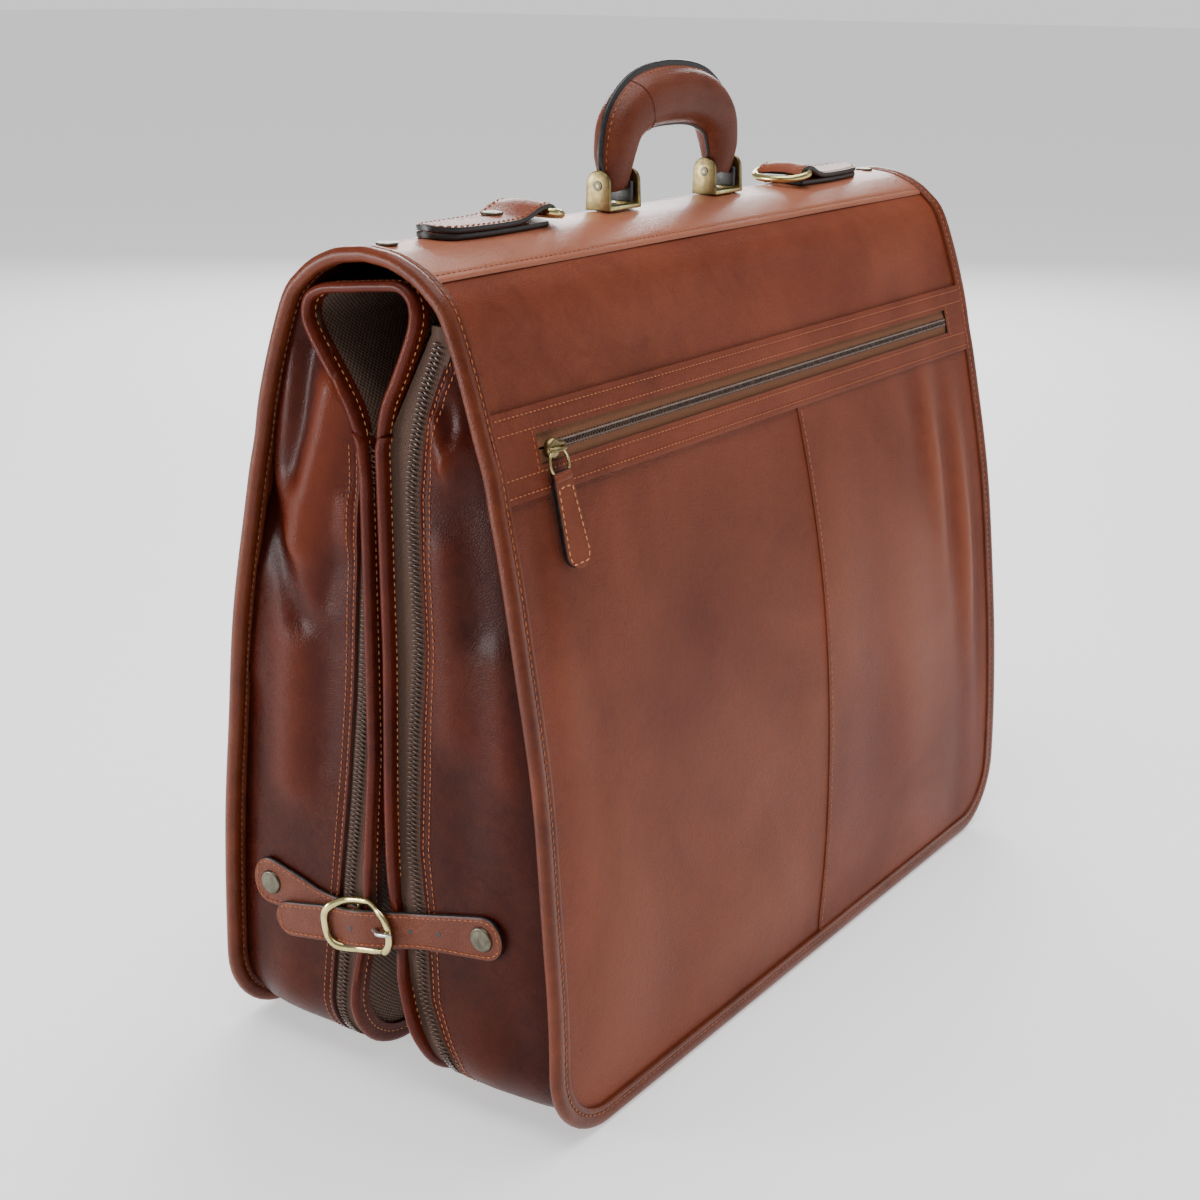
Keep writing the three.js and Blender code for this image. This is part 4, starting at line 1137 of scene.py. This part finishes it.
def rivet(name, place, up, radius, height, body, replaces=()):
    head = ((1, 0.3), (0.93, 0.62), (0.84, 0.7), (0.8, 0.66), (0.6, 0.86), (0, 1))
    profile = [(0, -1.2), (radius * 0.9, -1.2), (radius, -0.2)] + [(radius * r, height * h) for r, h in head]
    return turned_piece(name, profile, place, up, PEWTER, body, replaces)


def plate(outline, push, bevel):
    """A flat plate in millimetres: an outline pushed out to a thickness, with its edges rounded."""
    mesh = bmesh.new()
    face = mesh.faces.new([mesh.verts.new(Vector(p) * MM) for p in outline])
    made = bmesh.ops.extrude_face_region(mesh, geom=[face], use_keep_orig=True)
    verts = [g for g in made["geom"] if isinstance(g, bmesh.types.BMVert)]
    bmesh.ops.translate(mesh, verts=verts, vec=Vector(push) * MM)
    bmesh.ops.recalc_face_normals(mesh, faces=mesh.faces[:])
    edges = [e for e in mesh.edges if e.calc_face_angle(0) > 0.7]
    bmesh.ops.bevel(mesh, geom=edges, offset=bevel * MM, segments=2, profile=0.5, affect="EDGES", material=-1)
    return mesh


print("helpers for straps and metal ready")

# %% [markdown]
# ## Fastening straps
# A short strap with a buckle is riveted to the rear wall, and a longer one with holes to the front wall. Together
# they hold the halves shut at each end. Their lines were drawn in the side view: s runs along the straps from the
# buckle's bar, and o is how far they stand off the wall.
# %% Straps at both ends
BAR_Y, BAR_Z = 15.0, 101.1
SLOPE, REAR_SLOPE = math.radians(-11.62), math.radians(5.5)


def end_place(sign, slope, point):
    def place(s, across, height):
        along, off = point(s, height)
        y = BAR_Y + along * math.cos(slope) - across * math.sin(slope)
        z = BAR_Z + along * math.sin(slope) + across * math.cos(slope)
        return (sign * (WALL_X + off), y, z)
    return place


BILLET = [(-103, 0.5), (-92, 0.5), (-72, 0.6), (-56, 0.7), (-38, 1.35), (-26, 3.65), (-17, 4.35), (-5, 6.45),
          (5, 6.45), (17, 4.35), (26, 3.95), (40, 4.2), (67, 3.7)]
HOLES = (26.0, 5.0, -37.0, -58.0)
HOLE_SHADE_DISC = [(0, 0.0), (1.1, 0.02), (1.45, 0.1), (1.6, 0.0), (1.6, -0.5), (0, -0.5)]
for sign, end in ((-1, "left"), (1, "right")):
    point, length = along_path(BILLET)
    table = round_ended(length, None, 13.2, 10.8, waist=lambda s: -1.4 * bell(s, 60, 30))
    place = end_place(sign, SLOPE, point)
    strap_piece("billet_strap_" + end, table, place, 2.5, "front_half", ("front_strap_" + end,))
    outward = (sign, 0, 0)
    # Each hole is a black disc: painted shade for the dark inside of the hole.
    for k, s in enumerate(HOLES):
        run = s - BILLET[0][0]
        spot = place(run, 0, 2.62)
        turned_piece(f"strap_hole_{end}_{k}", HOLE_SHADE_DISC, spot, Vector(place(run, 0, 3.6)) - Vector(spot), BLACK_EDGE,
                     "front_half", (), "black_edge", 12)
    rivet("billet_rivet_" + end, place(14.2, 0, 2.4), outward, 7.3, 2.3, "front_half", ("front_strap_rivet_" + end,))
    tongue = [(0.0, 0.2), (18, 0.2), (40, 0.35), (60, 0.45), (86, 0.45)]
    point, length = along_path(tongue)
    table = round_ended(length, None, 1.0, 13.2, waist=lambda s: 9.0 * (1 - math.exp(-s / 1.5)) * math.exp(-s / 60)
                        + 1.0 * bell(s, 80, 26) - 1.6 * bell(s, 34, 14), full_start=True)
    table = [(s, min(w, 10.4) if s < 18 else w) for s, w in table]
    tongue_place = end_place(sign, REAR_SLOPE, point)
    strap_piece("buckle_strap_" + end, table, tongue_place, 2.5, "rear_half", ("rear_strap_" + end,))
    rivet("buckle_strap_rivet_" + end, tongue_place(72.3, 0, 2.4), outward, 7.3, 2.3, "rear_half",
          ("rear_strap_rivet_" + end,))
print("straps riveted")

# %% [markdown]
# ## Buckles
# The buckle is a cast frame of pale brass, a long rounded oval that bows up over the strap, with a bar across its
# middle and a prong. A flat rounded section is swept round the oval, which is closer to the casting than round wire.
# %% Buckles and prongs
BOW = table_line([(0, 3.2), (8, 3.6), (14, 6.0), (19, 8.6), (23, 9.2), (28, 9.2)])
CAST = [(-2.3, -0.5), (-1.9, -1.3), (0, -1.55), (1.9, -1.3), (2.3, -0.5), (2.25, 0.5), (1.5, 1.35), (0, 1.65),
        (-1.5, 1.35), (-2.25, 0.5)]
for sign, end in ((-1, "left"), (1, "right")):
    ring_line = []
    for a in np.linspace(0, 2 * math.pi, 73)[:-1]:
        c, d = math.cos(a), math.sin(a)
        ring_line.append((24.7 * math.copysign(abs(c) ** 0.72, c), 15.2 * math.copysign(abs(d) ** 0.72, d)))
    ring_line = even_steps(ring_line + ring_line[:1], 73)[:-1]
    rows = []
    for i, (s, w) in enumerate(ring_line):
        before, after = ring_line[i - 1], ring_line[(i + 1) % len(ring_line)]
        out = Vector((after[1] - before[1], before[0] - after[0])).normalized()
        row = []
        for a, b in CAST:
            u, v = s + out.x * a, w + out.y * a
            y = BAR_Y + u * math.cos(SLOPE) - v * math.sin(SLOPE)
            z = BAR_Z + u * math.sin(SLOPE) + v * math.cos(SLOPE)
            row.append((sign * (WALL_X + BOW(abs(u)) - 0.4 + b), y, z))
        rows.append(row)
    finish_piece("buckle_casting_" + end, placed_grid(rows, True, True), BRASS, "buckle_" + end,
                 ("buckle_frame_" + end,), "brass")
    bar_line = []
    for w in np.linspace(-15.2, 15.2, 9):
        bar_line.append((sign * 286.9, BAR_Y - w * math.sin(SLOPE), BAR_Z + w * math.cos(SLOPE)))
    tube("buckle_bar_" + end, bar_line, 1.3, BRASS, "buckle_" + end, slot="brass")
    prong_line = smooth_line([(1.5, 3.0), (-1.5, 3.9), (-8, 4.6), (-15, 8.8), (-20, 11.9), (-30.5, 12.3)], 26)
    prong_rows = [(sign * (WALL_X + o), BAR_Y + s * math.cos(SLOPE), BAR_Z + s * math.sin(SLOPE))
                  for s, o in prong_line]
    tube("buckle_pin_" + end, prong_rows, [1.5] * 20 + [1.45, 1.4, 1.3, 1.15, 0.9, 0.5], STEEL, "prong_" + end,
         replaces=("buckle_prong_" + end,), slot="steel")
print("buckles cast")

# %% [markdown]
# ## Ring tabs on the spine
# Two tabs lie on the spine, each of two thicknesses of leather with heavy black edges. The upper one rises over the
# bar of a D-ring and comes back under itself. The tab is drawn from the side and narrows to a round outer end.
# %% Tabs, rings and rivets on the spine
TAB_UPPER = [(237, 4.3), (215, 4.2), (185, 4.3), (173, 4.9), (165, 7.0), (157, 10.0), (150, 10.9), (145.0, 9.4),
             (143.3, 6.4)]
TAB_LOWER = [(237.5, 0.5), (215, 0.5), (185, 0.5), (160, 0.5), (146, 0.7)]
RING_WAY = math.radians(11)


def on_spine(sign, point):
    def place(s, across, height):
        x, lift = point(s, -height)
        return on_cover(1, sign * x, across, lift)
    return place


for sign, end in ((-1, "left"), (1, "right")):
    for layer, path, stitched, nip in (("lower", TAB_LOWER, None, 0), ("upper", TAB_UPPER, THREAD, 2.2)):
        point, length = along_path(path)
        table = round_ended(length, None, 12.5, 1.0,
                            waist=lambda s: 7.0 * (1 - math.exp(-max(s - 4, 0) / 30)) + 0.08 * s)
        table = [(s, min(w, 18.2 - nip * bell(s, length, 22))) for s, w in table if s < length - 0.6]
        strap_piece(f"ring_tab_{layer}_{end}", table, on_spine(sign, point), 3.3, "spine", ("ring_tab_" + end,),
                    hide=TAB_HIDE, stitch=stitched, pitch=4.2)
    rivet("tab_rivet_" + end, on_cover(1, sign * 178, 0, 7.9), (0, 0, 1), 6.2, 1.5, "spine",
          ("ring_tab_rivet_" + end,))
    rivet("spine_disc_" + end, on_cover(1, sign * 268, 0, 0.5), (0, 0, 1), 6.0, 1.2, "spine",
          ("spine_rivet_" + end,))
    bow = [(4, 19.6), (12, 17.2), (17.8, 11), (19.9, 0), (17.8, -11), (12, -17.2), (4, -19.6)]
    line = [(0, v) for v in np.linspace(-18, 18, 20)] + [tuple(p) for p in smooth_line(bow, 44)]
    line = even_steps(line + line[:1], 60)[:-1]
    wire = [(sign * (150 - u * math.cos(RING_WAY)), v, 497.5 - u * math.sin(RING_WAY)) for u, v in line]
    tube("d_ring_" + end, wire, 2.45, BRASS, "ring_" + end, sides=16, closed=True, replaces=("strap_ring_" + end,),
         slot="brass")
print("tabs and rings made")

# %% [markdown]
# ## Handle
# The handle is a core wrapped in padded leather, fat in the middle of the grip and slim where it enters its
# brackets. The leather meets in a seam along the outside, which stands up as a black edge with stitches beside it.
# %% Handle grip
HANDLE_LINE = smooth_line([(-58.5, 503.5), (-59.5, 513), (-58.8, 526), (-51.5, 541), (-31, 551.5), (0, 554.5),
                           (31, 551.5), (51.5, 541), (58.8, 526), (59.5, 513), (58.5, 503.5)], 90)
HANDLE_RUN = np.linspace(0, 1, 90)
HANDLE_WAY = np.gradient(HANDLE_LINE, axis=0)
HANDLE_WAY /= np.linalg.norm(HANDLE_WAY, axis=1)[:, None]


def grip_size(t):
    edge = min(t, 1 - t)
    flat = float(np.interp(edge, [0, 0.05, 0.12, 0.2, 0.3, 0.5], [10.6, 12.2, 13.6, 14.8, 16.2, 16.8]))
    deep = float(np.interp(edge, [0, 0.04, 0.09, 0.16, 0.3, 0.5], [6.2, 8.6, 11.2, 12.8, 14.2, 14.6]))
    return flat, deep


def grip_point(i, a, lift=0.0):
    (x, z), (dx, dz), (flat, deep) = HANDLE_LINE[i], HANDLE_WAY[i], grip_size(HANDLE_RUN[i])
    out, across = math.cos(a), math.sin(a)
    squared = (abs(out) ** 2.3 + abs(across) ** 2.3) ** (-1 / 2.3)
    ridge = 1.6 * math.exp(-((a / 0.16) ** 2)) + 0.7 * math.exp(-(((abs(a) - math.pi) / 0.14) ** 2))
    reach = (flat * squared + ridge + lift) * out
    side = (deep * squared + lift) * across
    return (x - dz * reach, side, z + dx * reach)


angles = [(k - 18) * math.pi / 18 for k in range(36)]
rows = [[grip_point(i, a) for a in angles] for i in range(len(HANDLE_LINE))]
for i in (0, len(rows) - 1):
    centre = Vector((HANDLE_LINE[i][0], 0, HANDLE_LINE[i][1]))
    end_rows = [[tuple(centre + (Vector(p) - centre) * share + Vector((0, 0, -drop))) for p in rows[i]]
                for share, drop in ((0.9, 1.6), (0.6, 2.4))]
    rows = end_rows[::-1] + rows if i == 0 else rows + end_rows
grip = finish_piece("handle_leather", placed_grid(rows, wrap_across=True, cap=True), STRAP_HIDE, "handle",
                    ("handle_grip",), "cognac_leather")

# %% Handle edge, stitches and seam
WELT_RUN = range(3, len(HANDLE_LINE) - 3)
for label, hand, reach, wide in (("outer", 1, 4.4, 1.35), ("inner", -1, 1.6, 0.9)):
    rows = []
    for i in WELT_RUN:
        fade = min(1, (min(i, len(HANDLE_LINE) - 1 - i) - 2) / 5)
        (x, z), (dx, dz) = HANDLE_LINE[i], HANDLE_WAY[i]
        flat = grip_size(HANDLE_RUN[i])[0]
        row = []
        for a, b in ((-3.0, wide), (reach * 0.7, wide), (reach * 0.93, wide * 0.7), (reach, 0.0),
                     (reach * 0.93, -wide * 0.7), (reach * 0.7, -wide), (-3.0, -wide)):
            out = (flat + (a if a < 0 else a * fade)) * hand
            row.append((x - dz * out, b, z + dx * out))
        rows.append(row)
    finish_piece("handle_edge_" + label, placed_grid(rows, wrap_across=True, cap=True), BLACK_EDGE, "handle",
                 ("handle_welt",) if label == "outer" else (), "black_edge")
for label, turn in (("front", -0.27), ("rear", 0.27)):
    line = [Vector(grip_point(i, turn, 0.15)) for i in WELT_RUN]
    ups = [Vector(grip_point(i, turn, 1.15)) - p for i, p in zip(WELT_RUN, line)]
    stitch_row("handle_stitches_" + label, line, ups, THREAD, "handle", pitch=4.4, length=3.0, width=0.85)
SEAM_STEP = 26
tube("handle_cross_seam", [grip_point(SEAM_STEP, a, -0.18) for a in angles], 0.55, DARK_BINDING, "handle", sides=8,
     closed=True)
print("handle:", round(line_length(HANDLE_LINE)), "mm along its middle")

# %% [markdown]
# Each end of the handle hangs on a pin between the ears of a brass bracket. The ears are plates with round tops,
# pushed out from an outline and bevelled, and a black plate beside the grip is painted shade for the inner face of an
# ear.
# %% Brackets
BRACKET_DEEP = 8.8


def oblong(x, half_wide, half_deep, z):
    return [(x - half_wide, -half_deep, z), (x + half_wide, -half_deep, z), (x + half_wide, half_deep, z),
            (x - half_wide, half_deep, z)]


for sign, end in ((-1, "left"), (1, "right")):
    centre = sign * 60.0
    for hand, label in ((-1, "a"), (1, "b")):
        x = centre + hand * 15.75
        ear = [(x - 1.5, -BRACKET_DEEP, CROWN_Z + 0.4), (x - 1.5, BRACKET_DEEP, CROWN_Z + 0.4)]
        ear += [(x - 1.5, 8.0 * math.cos(a), 506.2 + 7.8 * math.sin(a))
                for a in np.linspace(0.05, math.pi - 0.05, 13)]
        finish_piece(f"bracket_ear_{end}_{label}", plate(ear, (3.0, 0, 0), 0.55), ANTIQUE, "spine",
                     ("handle_bracket_" + end,), "old_brass")
        turned_piece(f"bracket_screw_{end}_{label}", [(0, -1.5), (3.0, -1.5), (3.1, 0.0), (2.9, 0.45), (1.2, 0.6),
                     (1.0, 0.25), (0, 0.2)], (x + hand * 1.6, 0, 505), (hand, 0, 0), PEWTER, "spine", (), "steel", 20)
    base = oblong(centre, 16.2, BRACKET_DEEP, CROWN_Z + 0.4)
    finish_piece("bracket_base_" + end, plate(base, (0, 0, 2.8), 0.5), BRASS, "spine", (), "brass")
    # Painted shade: a black plate in the gap between the ears stands for the shaded inner face of an ear.
    tab = plate(oblong(centre + 8.6, 1.6, 7.4, 494.0), (0, 0, 12.6), 0.6)
    finish_piece("bracket_gap_shade_" + end, tab, BLACK_EDGE, "spine", (), "black_edge")
print("brackets screwed on")

# %% [markdown]
# ## Pocket pull
# The zip slider carries a ring, and a stitched leather pull hangs from the ring. The pull is folded over the ring at
# its top and has a round foot.
# %% Pocket pull
PULL_HEIGHT, PULL_ROUND, PULL_TAPER = 53.5, 9.0, 2.7
PULL_TOP = Vector((-237.2, -88.6, 376.3))
LEAN = math.radians(10.5)
PULL_DOWN = Vector((math.sin(math.radians(6)), -math.sin(LEAN), -math.cos(LEAN))).normalized()
PULL_ACROSS = Vector((math.cos(math.radians(12)), -math.sin(math.radians(12)), 0))
PULL_ACROSS = (PULL_ACROSS - PULL_ACROSS.dot(PULL_DOWN) * PULL_DOWN).normalized()
PULL_OUT = PULL_DOWN.cross(PULL_ACROSS)


def pull_place(s, across, height):
    return PULL_TOP + PULL_DOWN * (PULL_HEIGHT - s) + PULL_ACROSS * across + PULL_OUT * (height - 1.6)


def pull_half_width(s):
    if s < PULL_ROUND:
        return max(0.7, PULL_ROUND * math.sqrt(max(1 - (1 - s / PULL_ROUND) ** 2, 0)))
    return PULL_ROUND - PULL_TAPER * (s - PULL_ROUND) / (PULL_HEIGHT - PULL_ROUND)


table = [(s, pull_half_width(s)) for s, _ in round_ended(PULL_HEIGHT, PULL_ROUND, PULL_ROUND, 1.2)]
strap_piece("pocket_pull_leather", table, pull_place, 3.4, "pocket_pull", ("pocket_pull_tab",), hide=TAB_HIDE,
            stitch=None)
inner = [(s, w - 2.0) for s, w in table if 2.1 < s < PULL_HEIGHT - 8 and w > 3.0]
around = [(s, -w) for s, w in inner[::-1]] + [(s, w) for s, w in inner]
around = [(PULL_HEIGHT - 8, 0)] + around + [(PULL_HEIGHT - 8, 0)]
for label, level in (("front", 3.5), ("back", -0.1)):
    line = [Vector(pull_place(s, w, level)) for s, w in around]
    ups = [PULL_OUT * (1 if label == "front" else -1)] * len(line)
    stitch_row("pocket_pull_stitches_" + label, line, ups, PALE_THREAD, "pocket_pull", pitch=4.0, length=2.9,
               width=1.0)
loop = [pull_place(PULL_HEIGHT - 3.2, x, 1.5) for x in np.linspace(-6.2, 6.2, 15)]
tube("pocket_pull_loop", loop, [2.2] + [2.9] * 13 + [2.2], TAB_HIDE, "pocket_pull", sides=18, slot="tan_leather")

# %% Pocket slider and ring
face_y = on_cover(-1, 0, ZIP_RUN, 0.9).y
slider = [(-237.5 + 5.6 * math.cos(a), BAND_Z + 5.6 * math.sin(a))
          for a in np.linspace(math.radians(40), math.radians(320), 18)]
slider += [(-228.6, 385.0), (-227.4, 386.0), (-227.4, 390.0), (-228.6, 391.0)]
finish_piece("pocket_slider_body", plate([(x, face_y, z) for x, z in slider], (0, -4.4, 0), 1.3), ANTIQUE,
             "pocket_slider", ("pocket_slider",), "old_brass")
bail = smooth_line([(x, face_y - out, BAND_Z) for x, out in ((-241.5, 4.0), (-239.5, 7.0), (-235, 7.6), (-231, 6.4),
                                                             (-229, 3.6))], 24)
tube("pocket_slider_bail", bail, 1.15, ANTIQUE, "pocket_slider", sides=12, slot="old_brass")
ring_low, ring_high = (Vector(c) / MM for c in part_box("pocket_pull_ring"))
ring_mid, ring_lean = (ring_low + ring_high) / 2, math.radians(14)
RING_RADIUS = 8.1
ring_up = Vector((0, math.sin(ring_lean), math.cos(ring_lean)))
ring = [ring_mid + RING_RADIUS * (math.cos(a) * Vector((1, 0, 0)) + math.sin(a) * ring_up)
        for a in np.linspace(0, 2 * math.pi, 49)[:-1]]
tube("pocket_ring_wire", ring, 0.8, BRASS, "pocket_ring", sides=12, closed=True, replaces=("pocket_pull_ring",),
     slot="brass")
print("pull:", round(PULL_HEIGHT), "mm long")

# %% [markdown]
# ## Metal that stays as drawn, and the inside
# The zip sliders, pulls and pins already have their right shapes, so they only get a finish. Inside, the pocket
# lining and the hanger strap are cloth, and the board, core and clamp are stiff.
# %% Finishes for the fixed parts
for names, material in (
    (("front_zip_slider", "rear_zip_slider", "front_zip_pull", "rear_zip_pull", "handle_pin_left",
      "handle_pin_right"), ANTIQUE),
    (("hanger_clamp", "handle_core"), STEEL), (("spine_board",), BLACK_EDGE),
):
    for name in names:
        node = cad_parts[name]
        node.data.materials.clear()
        node.data.materials.append(material)
print("fixed parts finished")

# %% Cloth inside
low, high = (Vector(c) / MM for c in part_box("pocket_lining"))
section = [(-depth_at(z) + 10.0, z) for z in np.linspace(438, 16, 60)]
rows = [[(x * min(1, 0.9 + 0.1 * z / 60), y, z) for x in np.linspace(low.x + 2, high.x - 2, 40)] for y, z in section]
pocket_flat = (high.x - low.x - 4, line_length(section))
pocket = finish_piece("pocket_lining_cloth", thicken(placed_grid(rows, uv_size=pocket_flat), 0.6), CANVAS,
                      "front_half", ("pocket_lining",), "canvas")
low, high = (Vector(c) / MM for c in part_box("garment_strap"))
web = [[(x, (low.y + high.y) / 2 + 1.2 * math.sin(x / 60), z) for z in np.linspace(low.z, high.z, 8)] for x in
       np.linspace(low.x, high.x, 60)]
webbing = finish_piece("hanger_webbing", thicken(placed_grid(web, uv_size=(30, 524)), 1.6), TAPE, "rear_half",
                       ("garment_strap",), "canvas")
print("inside dressed")

# %% [markdown]
# ## Scene
# A pale floor under a pale sky, and soft boxes as in a product studio: one large above, one low on the left for the
# long lights on the end wall, a weak one in front, and one behind for the rim of the back and the spine.
# %% Floor and lights
def floor_sheet():
    mesh = bmesh.new()
    bmesh.ops.create_grid(mesh, x_segments=2, y_segments=2, size=30)
    bmesh.ops.translate(mesh, verts=mesh.verts[:], vec=(0, 0, -0.0005))
    material, tree, shader = new_material("pale_floor", (0.9, 0.9, 0.9))
    shader.inputs["Roughness"].default_value = 0.7
    shader.inputs["Emission Color"].default_value = (1, 1, 1, 1)
    shader.inputs["Emission Strength"].default_value = 0.6
    floor = finish_piece("floor", mesh, material)


def soft_box(name, place, size, watts, target=(0, 0, 0.25)):
    data = bpy.data.lights.new(name, "AREA")
    data.shape = "RECTANGLE"
    data.size, data.size_y = size
    data.energy = watts
    lamp = bpy.data.objects.new(name, data)
    lamp.location = place
    lamp.rotation_mode = "QUATERNION"
    lamp.rotation_quaternion = (Vector(target) - Vector(place)).to_track_quat("-Z", "Y")
    lamp.visible_camera = False
    bpy.context.scene.collection.objects.link(lamp)


floor_sheet()
soft_box("overhead", (0.0, -0.1, 2.2), (2.6, 1.8), 60)
soft_box("left_box", (-1.9, 1.6, 0.46), (0.8, 0.7), 40, (-0.28, 0.03, 0.34))
soft_box("front_box", (2.0, -1.7, 0.9), (1.2, 0.9), 5, (0, -0.1, 0.25))
soft_box("back_box", (2.4, 1.7, 1.3), (2.0, 0.8), 60, (0, 0, 0.45))
world = bpy.data.worlds.new("studio")
world.use_nodes = True
sky = world.node_tree.nodes["Background"]
sky.inputs["Color"].default_value = (1, 1, 1, 1)
seen = world.node_tree.nodes.new("ShaderNodeLightPath").outputs["Is Camera Ray"]
world.node_tree.links.new(remap(world.node_tree, seen, 0, 1, 0.3, 1.0), sky.inputs["Strength"])
bpy.context.scene.world = world
print("studio set")
